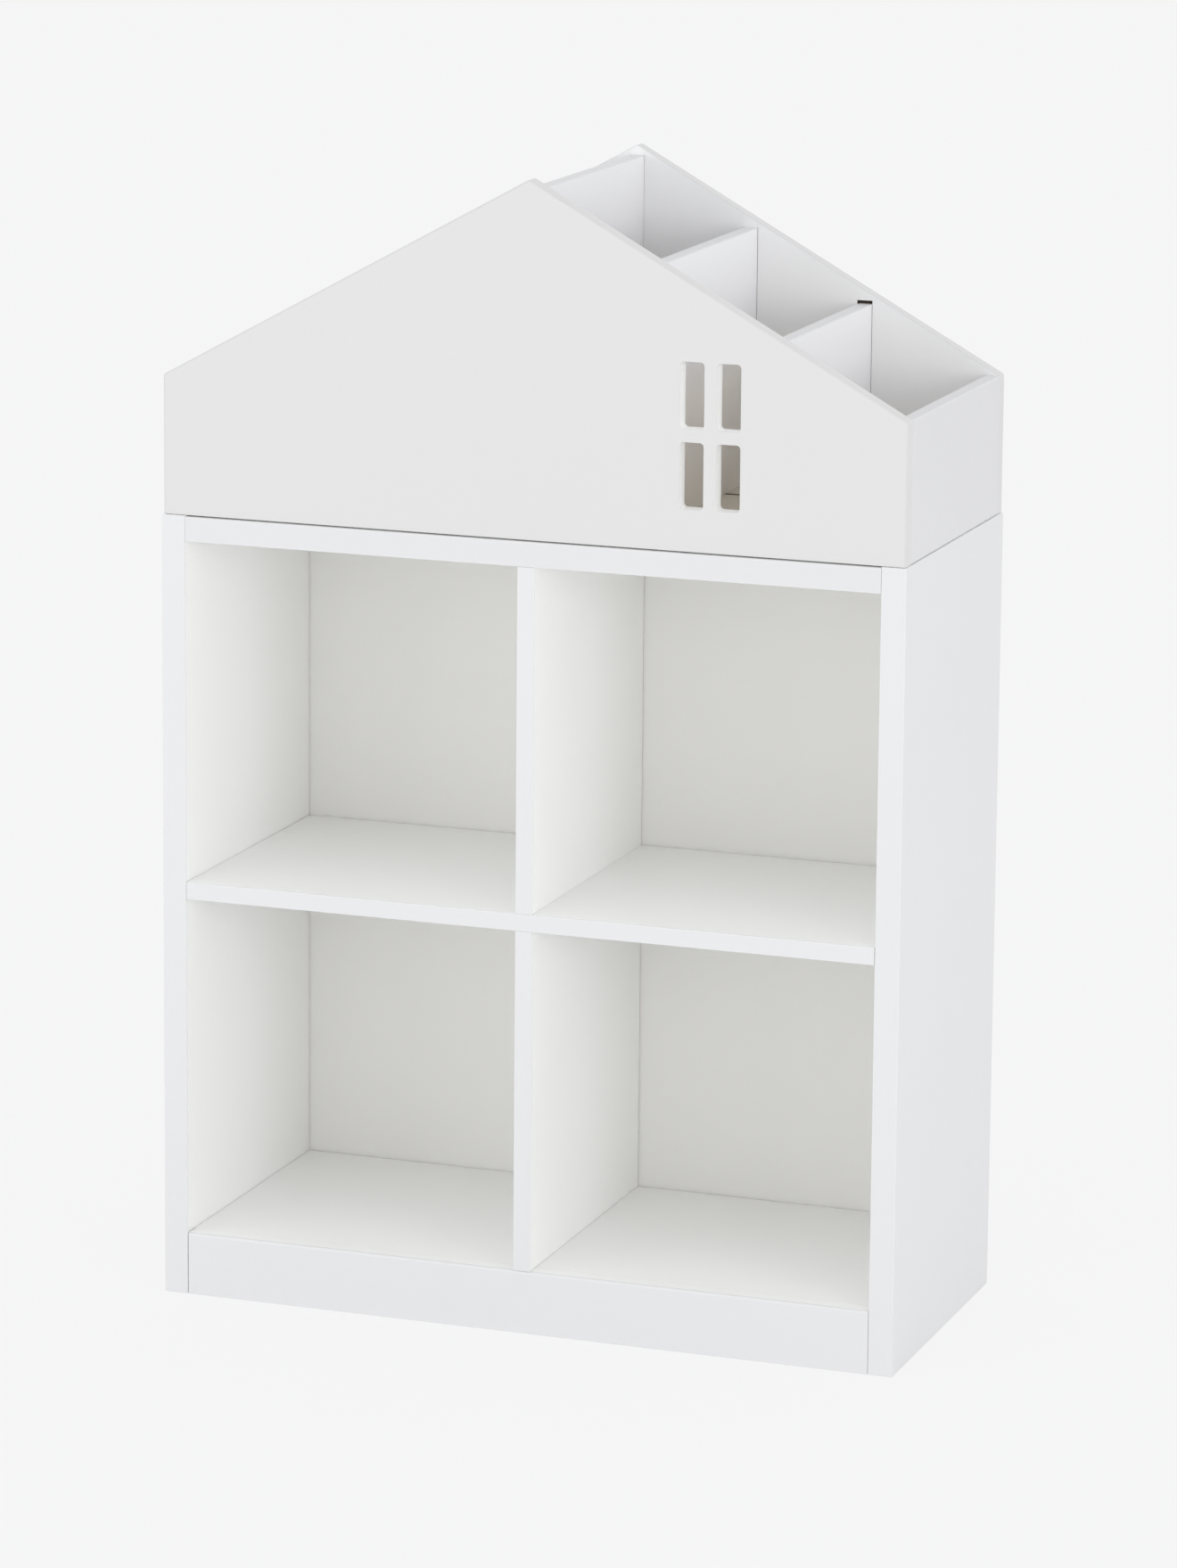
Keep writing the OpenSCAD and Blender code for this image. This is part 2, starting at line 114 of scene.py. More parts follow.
def into_mesh(shape: bmesh.types.BMesh, name: str) -> bpy.types.Mesh:
    """Moves a shape into a new mesh.

    Args:
        shape: the shape, which is freed.
        name: name of the mesh.

    Returns:
        The mesh.
    """
    mesh = bpy.data.meshes.new(name)
    shape.to_mesh(mesh)
    shape.free()
    return mesh


def new_object(name: str, data: bpy.types.ID) -> bpy.types.Object:
    """Puts a mesh, a lamp or a camera into the scene.

    Args:
        name: name of the new object.
        data: the mesh, the lamp or the camera.

    Returns:
        The new object.
    """
    added = bpy.data.objects.new(name, data)
    bpy.context.scene.collection.objects.link(added)
    return added


def settle_modifiers(piece: bpy.types.Object) -> None:
    """Makes what the piece's modifiers give its own mesh, and removes them.

    Args:
        piece: the piece to settle.
    """
    bpy.context.view_layer.update()
    evaluated = piece.evaluated_get(bpy.context.evaluated_depsgraph_get())
    mesh = bpy.data.meshes.new_from_object(evaluated)
    mesh.name = piece.name
    piece.modifiers.clear()
    piece.data = mesh


def hand_over(piece: bpy.types.Object, nodes: Sequence[str]) -> None:
    """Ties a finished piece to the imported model.

    Args:
        piece: the finished piece.
        nodes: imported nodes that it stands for.
    """
    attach(piece, BODY)
    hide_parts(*nodes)
    LOG.info("%s: %d faces, stands for %s", piece.name, len(piece.data.polygons), ", ".join(nodes))


class Graph:
    """Adds nodes to the node tree of a material or of the world."""

    def __init__(self, tree: bpy.types.NodeTree) -> None:
        """Starts from a node tree, which it empties."""
        self.tree = tree
        self.tree.nodes.clear()

    def feed(self, socket: bpy.types.NodeSocket, value: object) -> None:
        """Gives a socket its value.

        Args:
            socket: the socket.
            value: its value, or the socket that feeds it.
        """
        if isinstance(value, bpy.types.NodeSocket):
            self.tree.links.new(value, socket)
        else:
            socket.default_value = value

    def add(
        self, kind: str, settings: Mapping[str, object] | None = None, **inputs: object
    ) -> bpy.types.Node:
        """Adds one node.

        Args:
            kind: the node's type, without the leading "ShaderNode".
            settings: properties of the node itself.
            **inputs: values of its sockets, or the sockets that feed them, with
                underscores for the spaces in their names.

        Returns:
            The new node.
        """
        node = self.tree.nodes.new("ShaderNode" + kind)
        for key, value in (settings or {}).items():
            setattr(node, key, value)
        for key, value in inputs.items():
            self.feed(node.inputs[key.replace("_", " ")], value)
        return node

    def math(self, operation: str, first: object, second: object = 0.0) -> bpy.types.NodeSocket:
        """Adds a Math node.

        Args:
            operation: what it does with its two values.
            first: its first value or the socket that feeds it.
            second: its second value or the socket that feeds it.

        Returns:
            The result's socket.
        """
        node = self.add("Math", {"operation": operation})
        for socket, value in zip(node.inputs, (first, second)):
            self.feed(socket, value)
        return node.outputs["Value"]

    def noise(self, place: bpy.types.NodeSocket, scale: float, detail: float) -> bpy.types.NodeSocket:
        """Adds a noise from 0 to 1, with its cells in a metre and its finer layers."""
        return self.add("TexNoise", Vector=place, Scale=scale, Detail=detail).outputs["Fac"]

    def relief(self, height: bpy.types.NodeSocket, depth: float) -> bpy.types.NodeSocket:
        """Turns a height from 0 to 1 into the normal of a surface with that relief."""
        return self.add("Bump", Height=height, Distance=depth).outputs["Normal"]

    def share_between(
        self, value: bpy.types.NodeSocket, low: float, high: float
    ) -> bpy.types.NodeSocket:
        """Gives 0 up to the low value, 1 from the high one on, and the share between them."""
        return self.add("MapRange", Value=value, From_Min=low, From_Max=high).outputs["Result"]

    def spread(self, value: bpy.types.NodeSocket, low: float, high: float) -> bpy.types.NodeSocket:
        """Stretches a value from 0..1 to the range from low to high."""
        return self.add("MapRange", Value=value, To_Min=low, To_Max=high).outputs["Result"]

    def mix(
        self, operation: str, first: Paint, second: Paint, share: object = 1.0
    ) -> bpy.types.NodeSocket:
        """Mixes two colours.

        Args:
            operation: how they are mixed.
            first: the first colour, or the socket that feeds it.
            second: the second colour, or the socket that feeds it.
            share: share of the second, or the socket that feeds it.

        Returns:
            The mixed colour's socket.
        """
        node = self.add("Mix", {"data_type": "RGBA", "blend_type": operation}, Factor=share)
        for socket, value in zip((s for s in node.inputs if s.type == "RGBA"), (first, second)):
            self.feed(socket, value if isinstance(value, bpy.types.NodeSocket) else (*value, 1.0))
        return next(socket for socket in node.outputs if socket.type == "RGBA")

    def mix_shaders(
        self, first: bpy.types.Node, second: bpy.types.Node, share: bpy.types.NodeSocket
    ) -> bpy.types.NodeSocket:
        """Mixes two shaders.

        Args:
            first: the first shader.
            second: the second shader.
            share: socket with the share of the second.

        Returns:
            The mixed shader's socket.
        """
        node = self.add("MixShader", Fac=share)
        for socket, shader in zip(node.inputs[1:], (first, second)):
            self.feed(socket, shader.outputs[0])
        return node.outputs["Shader"]

    def tint(self, colour: Paint, shade: bpy.types.NodeSocket) -> bpy.types.NodeSocket:
        """Multiplies a colour by a shade."""
        grey = self.add("CombineColor", Red=shade, Green=shade, Blue=shade).outputs["Color"]
        return self.mix("MULTIPLY", colour, grey)


def new_material(name: str) -> tuple[bpy.types.Material, Graph]:
    """Makes a material with an empty node tree.

    Args:
        name: name of the material.

    Returns:
        The material and the graph that fills it.
    """
    material = bpy.data.materials.new(name)
    material.use_nodes = True
    return material, Graph(material.node_tree)


@dataclass(frozen=True)
class Finish:
    """A procedural material.

    Attributes:
        name: name of the material.
    """

    name: str

    def sockets(self, graph: Graph, place: bpy.types.NodeSocket) -> dict[str, object]:
        """Gives the value of each of the shader's sockets, or the socket that feeds it."""
        raise NotImplementedError

    def material(self) -> bpy.types.Material:
        """Builds the material.

        Returns:
            The material.
        """
        material, graph = new_material(self.name)
        place = graph.add("TexCoord").outputs["Object"]
        shader = graph.add("BsdfPrincipled", **self.sockets(graph, place))
        graph.add("OutputMaterial", Surface=shader.outputs["BSDF"])
        return material


@dataclass(frozen=True)
class SatinPaint(Finish):
    """Satin paint sprayed on board, with faint mottling, a fine peel and a few dust specks.

    Attributes:
        colour: colour of the paint.
        roughness: how dull its surface is.
        roughness_swing: by how much that varies over the board.
        mottling: share by which the colour varies.
        mottle_scale: mottles in a metre.
        mottle_detail: finer layers of the mottles.
        sheen_ratio: how many times finer the dullness varies than the colour.
        sheen_detail: finer layers of the dullness.
        peel_scale: ripples of the peel in a metre.
        peel_detail: finer layers of the peel.
        peel_depth: height of those ripples.
        speck_scale: places for a speck in a metre.
        speck_radius: radius of a speck.
        speck_share: share of the places that have one.
        speck_shade: brightness of a speck against the paint.
        bounce_light_colour: colour of the paint low down, warmer and lighter as painted bounce light
            from the floor, or None where it is the same.
        bounce_light_span: heights between which the painted bounce light passes into the colour above.
    """

    colour: Colour
    roughness: float = 0.42
    roughness_swing: float = 0.05
    mottling: float = 0.010
    mottle_scale: float = 5.0
    mottle_detail: float = 3.0
    sheen_ratio: float = 9.0
    sheen_detail: float = 2.0
    peel_scale: float = 700.0
    peel_detail: float = 1.0
    peel_depth: float = 0.00002
    speck_scale: float = 7.0
    speck_radius: float = 0.0007
    speck_share: float = 0.12
    speck_shade: float = 0.82
    bounce_light_colour: Colour | None = None
    bounce_light_span: Span = (0.93, 0.985)

    def sockets(self, graph: Graph, place: bpy.types.NodeSocket) -> dict[str, object]:
        """Works out what the shader's sockets get.

        Args:
            graph: graph of the material.
            place: socket with the place on the board.

        Returns:
            The value of each socket, or the socket that feeds it.
        """
        mottle = graph.noise(place, self.mottle_scale, self.mottle_detail)
        sheen = graph.noise(place, self.mottle_scale * self.sheen_ratio, self.sheen_detail)
        peel = graph.noise(place, self.peel_scale, self.peel_detail)
        shade = graph.spread(mottle, 1.0 - self.mottling, 1.0 + self.mottling)
        shade = graph.math("MULTIPLY", shade, self.speck_mask(graph, place))
        glossiest = self.roughness - self.roughness_swing
        dullest = self.roughness + self.roughness_swing
        return {
            "Base_Color": graph.tint(self.paint(graph, place), shade),
            "Roughness": graph.spread(sheen, glossiest, dullest),
            "Normal": graph.relief(peel, self.peel_depth),
        }

    def paint(self, graph: Graph, place: bpy.types.NodeSocket) -> Paint:
        """Finds the paint's colour at each height.

        Args:
            graph: graph of the material.
            place: socket with the place on the board.

        Returns:
            The colour, or its socket where it changes with the height.
        """
        if self.bounce_light_colour is None:
            return self.colour
        # Low down the colour passes into a warmer, lighter one: painted bounce light from the floor.
        height = graph.add("SeparateXYZ", Vector=place).outputs["Z"]
        share = graph.share_between(height, *self.bounce_light_span)
        return graph.mix("MIX", self.bounce_light_colour, self.colour, share)

    def speck_mask(self, graph: Graph, place: bpy.types.NodeSocket) -> bpy.types.NodeSocket:
        """Marks the few dust specks under the paint.

        Args:
            graph: graph of the material.
            place: socket with the place on the board.

        Returns:
            Socket that is 1 on clean paint and darker on a speck.
        """
        cells = graph.add("TexVoronoi", Vector=place, Scale=self.speck_scale)
        near = graph.math("LESS_THAN", cells.outputs["Distance"], self.speck_radius * self.speck_scale)
        pick = graph.add("SeparateColor", Color=cells.outputs["Color"]).outputs["Red"]
        there = graph.math("MULTIPLY", near, graph.math("LESS_THAN", pick, self.speck_share))
        return graph.spread(there, 1.0, self.speck_shade)


@dataclass(frozen=True)
class BrightMetal(Finish):
    """Zinc plated steel.

    Attributes:
        colour: colour of the metal.
        roughness: how dull it is between the plating's grains and on them.
        grain_scale: grains of the plating in a metre.
        grain_detail: finer layers of the grains.
        grain_depth: height of the grains.
        stain_scale: stains in a metre.
        stain_detail: finer layers of the stains.
        stain_shades: brightness in the stains and between them.
    """

    colour: Colour
    roughness: Span = (0.28, 0.44)
    grain_scale: float = 2200.0
    grain_detail: float = 2.0
    grain_depth: float = 0.00001
    stain_scale: float = 275.0
    stain_detail: float = 3.0
    stain_shades: Span = (0.88, 1.08)

    def sockets(self, graph: Graph, place: bpy.types.NodeSocket) -> dict[str, object]:
        """Works out what the shader's sockets get.

        Args:
            graph: graph of the material.
            place: socket with the place on the metal.

        Returns:
            The value of each socket, or the socket that feeds it.
        """
        grain = graph.noise(place, self.grain_scale, self.grain_detail)
        stain = graph.noise(place, self.stain_scale, self.stain_detail)
        return {
            "Base_Color": graph.tint(self.colour, graph.spread(stain, *self.stain_shades)),
            "Metallic": 1.0,
            "Roughness": graph.spread(grain, *self.roughness),
            "Normal": graph.relief(grain, self.grain_depth),
        }


@dataclass(frozen=True)
class BareBeech(Finish):
    """Bare turned beech, as of the dowels.

    Attributes:
        light: colour between the grain.
        dark: colour of the grain.
        roughness: how dull it is, on the grain and between it.
        grain_scale: grain lines in a metre.
        grain_detail: finer layers of the grain.
        grain_depth: height of the grain.
        grain_span: values of the noise between which dark passes into light.
    """

    light: Colour
    dark: Colour
    roughness: Span = (0.7, 0.55)
    grain_scale: float = 900.0
    grain_detail: float = 4.0
    grain_depth: float = 0.00005
    grain_span: Span = (0.35, 0.62)

    def sockets(self, graph: Graph, place: bpy.types.NodeSocket) -> dict[str, object]:
        """Works out what the shader's sockets get.

        Args:
            graph: graph of the material.
            place: socket with the place on the wood.

        Returns:
            The value of each socket, or the socket that feeds it.
        """
        grain = graph.noise(place, self.grain_scale, self.grain_detail)
        share = graph.share_between(grain, *self.grain_span)
        return {
            "Base_Color": graph.mix("MIX", self.dark, self.light, share),
            "Roughness": graph.spread(grain, *self.roughness),
            "Normal": graph.relief(grain, self.grain_depth),
        }


@dataclass(frozen=True)
class RawFibreboard(Finish):
    """Raw fibreboard, as in the grooves, set near black as painted shade of the deep grooves.

    Attributes:
        colour: colour of the board, near black in the grooves as painted shade.
        fleck: share by which its fibres vary in colour.
        fibre_scale: fibres in a metre.
        fibre_detail: finer layers of the fibres.
        fibre_depth: height of the fibres.
        roughness: how dull it is.
    """

    colour: Colour
    fleck: float = 0.25
    fibre_scale: float = 1200.0
    fibre_detail: float = 4.0
    fibre_depth: float = 0.0001
    roughness: float = 0.9

    def sockets(self, graph: Graph, place: bpy.types.NodeSocket) -> dict[str, object]:
        """Works out what the shader's sockets get.

        Args:
            graph: graph of the material.
            place: socket with the place on the board.

        Returns:
            The value of each socket, or the socket that feeds it.
        """
        fibre = graph.noise(place, self.fibre_scale, self.fibre_detail)
        shade = graph.spread(fibre, 1.0 - self.fleck, 1.0 + self.fleck)
        return {
            "Base_Color": graph.tint(self.colour, shade),
            "Roughness": self.roughness,
            "Normal": graph.relief(fibre, self.fibre_depth),
        }


class Layer(IntEnum):
    """Which of a coat's paints a face of a board has, as the place of its material.

    Attributes:
        INSIDE: of faces that look into a cell or compartment, lighter than the outside paint
            as painted light.
        EDGE: of eased edges; its colour is set to give the edge's highlight as painted
            highlight, and on the gables a dark line as painted shade.
        OUTSIDE: of fronts, outer faces and tops, greyer than the inside paint as painted shade.
        REVEAL: of the walls of an opening right through the board, light as painted light
            against the shade in the opening.
        BARE: of grooves, which are cut after painting, near black as painted shade in the
            grooves.
    """

    INSIDE = 0
    EDGE = 1
    OUTSIDE = 2
    REVEAL = 3
    BARE = 4


@dataclass(frozen=True)
class Coat:
    """The paints of a board.

    Attributes:
        materials: one material for each layer, in the order of the layers.
        slot: material slot that all of them belong to; not used.
    """

    materials: Sequence[bpy.types.Material]
    slot: Slot

    def dress(self, mesh: bpy.types.Mesh) -> None:
        """Gives a mesh the coat's materials."""
        for material in self.materials:
            mesh.materials.append(material)


@dataclass(frozen=True)
class PaintWork:
    """How one group of boards is painted.

    Attributes:
        name: name of the paint, which its materials' names start with.
        slot: material slot of the boards.
        inside: colour of their inner faces, lighter than the outside colour as painted light.
        edge: colour of their eased edges, set to give the edges' highlight as painted
            highlight, and on the gables their dark line as painted shade.
        outside: colour of their fronts, outer faces and tops, greyer than the inside colour as
            painted shade.
        reveal: colour of the walls of their openings, light as painted light against the
            shade in the openings.
        bare: finish of their grooves, near black as painted shade in the grooves.
        foot: colour of their inner faces low down, warmer and lighter as painted bounce light
            from the floor, or None where it is the same.
        roughness: how dull their paint is.
        edge_mottling: share by which the colour varies along the eased edges.
        edge_scale: mottles in a metre of eased edge.
    """

    name: str
    slot: Slot
    inside: Colour
    edge: Colour
    outside: Colour
    # The reveal colour is light, as painted light against the shade inside the openings.
    reveal: Colour = (0.97, 0.965, 0.95)
    # The grooves' finish is near black, painted shade in the deep grooves.
    bare: RawFibreboard = RawFibreboard("raw_fibreboard_groove_shade", (0.1, 0.075, 0.05))
    foot: Colour | None = None
    roughness: float = 0.42
    edge_mottling: float = 0.03
    edge_scale: float = 40.0

    def coat(self) -> Coat:
        """Mixes the paints.

        Returns:
            The coat of these boards.
        """
        # The inside paint is lighter than the outside paint as painted light, and warmer low down as
        # painted bounce light; the edge paint gives painted highlight and painted shade, the reveal
        # paint painted light.
        inside = SatinPaint(self.name, self.inside, self.roughness, bounce_light_colour=self.foot)
        edge = SatinPaint(
            self.name + "_edge", self.edge, self.roughness,
            mottling=self.edge_mottling, mottle_scale=self.edge_scale, speck_share=0.0,
        )
        outside = SatinPaint(self.name + "_outside", self.outside, self.roughness)
        reveal = SatinPaint(self.name + "_reveal", self.reveal, self.roughness)
        finishes = (inside, edge, outside, reveal, self.bare)
        return Coat([finish.material() for finish in finishes], self.slot)


@dataclass(frozen=True)
class EasedEdges:
    """Radii of a board's eased edges.

    Attributes:
        usual: radius of the edges that have none of their own.
        single: radii of single edges, each by the two sides that meet there.
    """

    usual: float
    single: Mapping[frozenset[Side], float] = field(default_factory=dict)

    def radius(self, sides: frozenset[Side]) -> float:
        """Gives the radius of the edge between two sides."""
        return self.single.get(sides, self.usual)

    @property
    def widest(self) -> float:
        """Largest radius of all."""
        return max(self.usual, *self.single.values()) if self.single else self.usual


def where_they_meet(
    side: Side, others: Iterable[Side], radius: float
) -> dict[frozenset[Side], float]:
    """Gives one radius to each of the edges where a side meets the others."""
    return {frozenset({side, other}): radius for other in others}


@dataclass
class EasedBoard:
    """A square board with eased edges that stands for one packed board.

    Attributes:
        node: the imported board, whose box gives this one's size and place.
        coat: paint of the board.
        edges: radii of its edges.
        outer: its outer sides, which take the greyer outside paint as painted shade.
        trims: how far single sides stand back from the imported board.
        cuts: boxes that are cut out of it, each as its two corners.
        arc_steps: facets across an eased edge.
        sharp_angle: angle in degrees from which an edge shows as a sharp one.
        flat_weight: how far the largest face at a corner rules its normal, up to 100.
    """

    node: str
    coat: Coat
    edges: EasedEdges
    outer: frozenset[Side] = frozenset({Side.FRONT})
    trims: Mapping[Side, float] = field(default_factory=dict)
    cuts: Sequence[tuple[Point, Point]] = ()
    arc_steps: int = 5
    sharp_angle: float = 40.0
    flat_weight: int = 100

    def block(self) -> bpy.types.Mesh:
        """Builds the square block, with each edge's radius as its bevel weight.

        Returns:
            The block's mesh.
        """
        corners = dict(zip((-1, 1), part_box(self.node)))
        for side, trim in self.trims.items():
            corners[side.sign][side.axis] -= side.sign * trim
        low, high = corners[-1], corners[1]
        middle, quarter = (low + high) / 2, (high - low) / 4
        shape = square_block(low, high)

        def sides_at(place: Vector) -> frozenset[Side]:
            """Names the sides that a point in the middle of an edge or a face lies on."""
            off = place - middle
            return frozenset(
                side for side in Side if off[side.axis] * side.sign > quarter[side.axis]
            )

        weight = shape.edges.layers.float.new("bevel_weight_edge")
        for edge in shape.edges:
            sides = sides_at((edge.verts[0].co + edge.verts[1].co) / 2)
            edge[weight] = self.edges.radius(sides) / self.edges.widest
        # Outer sides take the greyer outside paint, as painted shade.
        for face in shape.faces:
            if sides_at(face.calc_center_median()) <= self.outer:
                face.material_index = Layer.OUTSIDE
        mesh = into_mesh(shape, self.node + "_painted")
        self.coat.dress(mesh)
        return mesh

    def cutter(self, corners: tuple[Point, Point]) -> bpy.types.Object:
        """Builds the box that makes one cut.

        Args:
            corners: the box's lowest and highest corner.

        Returns:
            The box, which is removed once the cut is made.
        """
        mesh = into_mesh(square_block(*map(Vector, corners)), self.node + "_cutter")
        self.coat.dress(mesh)
        return new_object(mesh.name, mesh)

    def build(self) -> bpy.types.Object:
        """Builds the board and hands it over.

        Returns:
            The finished piece.
        """
        piece = new_object(self.node + "_painted", self.block())
        bevel = piece.modifiers.new("ease", "BEVEL")
        bevel.limit_method = "WEIGHT"
        bevel.width = self.edges.widest
        bevel.segments = self.arc_steps
        bevel.material = Layer.EDGE
        cutters = [self.cutter(corners) for corners in self.cuts]
        for cutter in cutters:
            cut = piece.modifiers.new("cut", "BOOLEAN")
            cut.operation = "DIFFERENCE"
            cut.solver = "EXACT"
            cut.object = cutter
        settle_modifiers(piece)
        for cutter in cutters:
            bpy.data.objects.remove(cutter)
        piece.data.shade_smooth()
        piece.data.set_sharp_from_angle(angle=math.radians(self.sharp_angle))
        normals = piece.modifiers.new("flat_faces", "WEIGHTED_NORMAL")
        normals.keep_sharp = True
        normals.weight = self.flat_weight
        hand_over(piece, [self.node])
        return piece


def right_of(direction: Vector) -> Vector:
    """Turns a direction of travel to its right-hand side."""
    return Vector((direction.y, -direction.x))


@dataclass(frozen=True)
class RimPoint:
    """One point of an outline that has the board on its left.

    Attributes:
        place: the point, as x and z.
        arriving: way out of the board on the stretch that ends here.
        leaving: way out of the board on the stretch that starts here.
    """

    place: Vector
    arriving: Vector
    leaving: Vector

    def inset(self, depth: float) -> Vector:
        """Finds the point's place once both its stretches have moved into the board."""
        middle = (self.arriving + self.leaving).normalized()
        return self.place - middle * (depth / middle.dot(self.leaving))


def rim_corner(
    before: Vector, corner: Vector, after: Vector, radius: float, steps: int
) -> list[RimPoint]:
    """Draws one corner of an outline, as an arc or, without a radius, as a sharp one.

    Args:
        before: the outline's point before the corner.
        corner: the corner.
        after: the outline's point after the corner.
        radius: radius of the arc.
        steps: number of its facets.

    Returns:
        The points that take the corner's place.
    """
    back, ahead = (before - corner).normalized(), (after - corner).normalized()
    if radius == 0.0:
        return [RimPoint(corner, right_of(-back), right_of(ahead))]
    half = math.acos(back.dot(ahead)) / 2
    centre = corner + (back + ahead).normalized() * (radius / math.sin(half))
    first = corner + back * (radius / math.tan(half)) - centre
    side = math.copysign(1.0, back.y * ahead.x - back.x * ahead.y)
    points = []
    for i in range(steps + 1):
        spoke = Matrix.Rotation(side * (math.pi - 2 * half) * i / steps, 2) @ first
        out = spoke.normalized() * side
        points.append(RimPoint(centre + spoke, out, out))
    return points


def rounded_outline(corners: Sequence[tuple[float, float, float]], steps: int) -> list[RimPoint]:
    """Draws an outline with rounded corners.

    Args:
        corners: the corners, each as its place and its radius.
        steps: facets of each rounded corner.

    Returns:
        The outline's points.
    """
    places = [Vector(corner[:2]) for corner in corners]
    points: list[RimPoint] = []
    for i, (_, _, radius) in enumerate(corners):
        after = places[(i + 1) % len(places)]
        points += rim_corner(places[i - 1], places[i], after, radius, steps)
    return points


@dataclass
class Plate:
    """An upright plate with eased edges, holes right through and pockets in one face.

    Attributes:
        rim: its outline from the right foot over the top to the left foot.
        holes: the holes' outlines, clockwise.
        pockets: the pockets' outlines as x and z, clockwise.
        front: y of its front face.
        back: y of its back face.
        ease: radius of its rim's edge at the front.
        back_ease: radius of its rim's edge at the back.
        hole_ease: radius of the holes' edges.
        pocket_depth: depth of the pockets.
        pockets_in_back: True where the pockets are in the back face.
        front_layer: paint of the front face.
        back_layer: paint of the back face.
        arc_steps: facets across an eased edge.
        shape: what is built of it so far.
        normals: the normal at each corner of each face, in the order of the faces.
    """

    rim: Sequence[RimPoint]
    holes: Sequence[Sequence[RimPoint]]
    pockets: Sequence[Sequence[Vector]]
    front: float
    back: float
    ease: float
    back_ease: float
    hole_ease: float
    pocket_depth: float
    pockets_in_back: bool
    front_layer: Layer
    back_layer: Layer
    arc_steps: int = 6
    shape: bmesh.types.BMesh = field(default_factory=bmesh.new)
    normals: list[Vector] = field(default_factory=list)

    def face(
        self, verts: Sequence[bmesh.types.BMVert], normals: Sequence[Vector], layer: Layer
    ) -> None:
        """Adds one face with the normals of its corners.

        Args:
            verts: its corners.
            normals: the normal at each corner.
            layer: paint of the face.
        """
        made = self.shape.faces.new(verts)
        made.material_index = layer
        made.smooth = True
        self.normals += normals

    def flat_face(
        self, verts: Sequence[bmesh.types.BMVert], normal: Vector, layer: Layer
    ) -> None:
        """Adds one flat face, turned to look along its normal.

        Args:
            verts: its corners, in either order.
            normal: its normal.
            layer: paint of the face.
        """
        first, second, third, *_ = (vert.co for vert in verts)
        if (second - first).cross(third - first).dot(normal) < 0:
            verts = verts[::-1]
        self.face(verts, (normal,) * len(verts), layer)

    def rings(self, ease: float, back_ease: float) -> list[tuple[float, float, float]]:
        """Lists the rings across the plate's edge, from the front face to the back face.

        Args:
            ease: radius of the edge at the front.
            back_ease: radius of the edge at the back.

        Returns:
            Each ring's inset, its y and how far it leans to the front, as an angle.
        """
        angles = [math.pi / 2 * i / self.arc_steps for i in range(self.arc_steps, -1, -1)]
        curves = [(1 - math.cos(a), 1 - math.sin(a), a) for a in angles]
        front = [(ease * inset, self.front + ease * drop, a) for inset, drop, a in curves]
        back = [(back_ease * inset, self.back - back_ease * drop, -a) for inset, drop, a in curves]
        return front + back[::-1]

    def band(
        self,
        points: Sequence[RimPoint],
        rings: Sequence[tuple[float, float, float]],
        flat: Layer,
        closed: bool,
    ) -> list[list[bmesh.types.BMVert]]:
        """Builds the edge along an outline, a hole or a stretch of either.

        Args:
            points: the points that it runs along.
            rings: its rings.
            flat: paint of the flat between its two eased edges.
            closed: True where it runs all round.

        Returns:
            The vertices of each ring.
        """

        def lean(out: Vector, angle: float) -> Vector:
            """Tilts a way out of the board to the front."""
            return Vector((out.x * math.cos(angle), -math.sin(angle), out.y * math.cos(angle)))

        grid = []
        for depth, y, _ in rings:
            places = [point.inset(depth) for point in points]
            grid.append([self.shape.verts.new((place.x, y, place.y)) for place in places])
        for k in range(len(grid) - 1):
            near, far = rings[k][2], rings[k + 1][2]
            layer = flat if k == self.arc_steps else Layer.EDGE
            for i in range(len(points) if closed else len(points) - 1):
                j = (i + 1) % len(points)
                start, end = points[i].leaving, points[j].arriving
                self.face(
                    (grid[k][i], grid[k + 1][i], grid[k + 1][j], grid[k][j]),
                    (lean(start, near), lean(start, far), lean(end, far), lean(end, near)),
                    layer,
                )
        return grid

    def foot(self, grid: Sequence[Sequence[bmesh.types.BMVert]]) -> None:
        """Closes the plate's foot between the two ends of its rim's rings."""
        verts = [row[-1] for row in grid] + [row[0] for row in reversed(grid)]
        self.face(verts, (Vector((0.0, 0.0, -1.0)),) * len(verts), Layer.INSIDE)

    def cap(
        self, loops: Sequence[Sequence[bmesh.types.BMVert]], facing: float, layer: Layer
    ) -> None:
        """Fills one face of the plate between its outline, holes and pockets.

        Args:
            loops: the vertices of the outline and of what is cut out of it.
            facing: -1 for the front face and 1 for the back face.
            layer: paint of the face.
        """
        verts = [vert for loop in loops for vert in loop]
        for triangle in tessellate_polygon([[vert.co for vert in loop] for loop in loops]):
            self.flat_face([verts[i] for i in triangle], Vector((0.0, facing, 0.0)), layer)

    def pocket(self, loop: Sequence[Vector]) -> list[bmesh.types.BMVert]:
        """Builds the walls and the bottom of one pocket.

        Args:
            loop: the pocket's outline.

        Returns:
            The vertices of its mouth.
        """
        mouth_y, step = (self.back, -1.0) if self.pockets_in_back else (self.front, 1.0)
        bottom_y = mouth_y + step * self.pocket_depth
        mouth = [self.shape.verts.new((p.x, mouth_y, p.y)) for p in loop]
        bottom = [self.shape.verts.new((p.x, bottom_y, p.y)) for p in loop]
        # The groove's walls and bottom take the near-black bare finish, painted shade in the grooves.
        for i in range(len(loop)):
            j = (i + 1) % len(loop)
            along = loop[j] - loop[i]
            inwards = Vector((along.y, 0.0, -along.x)).normalized()
            self.flat_face([mouth[i], bottom[i], bottom[j], mouth[j]], inwards, Layer.BARE)
        self.flat_face(bottom, Vector((0.0, -step, 0.0)), Layer.BARE)
        return mouth

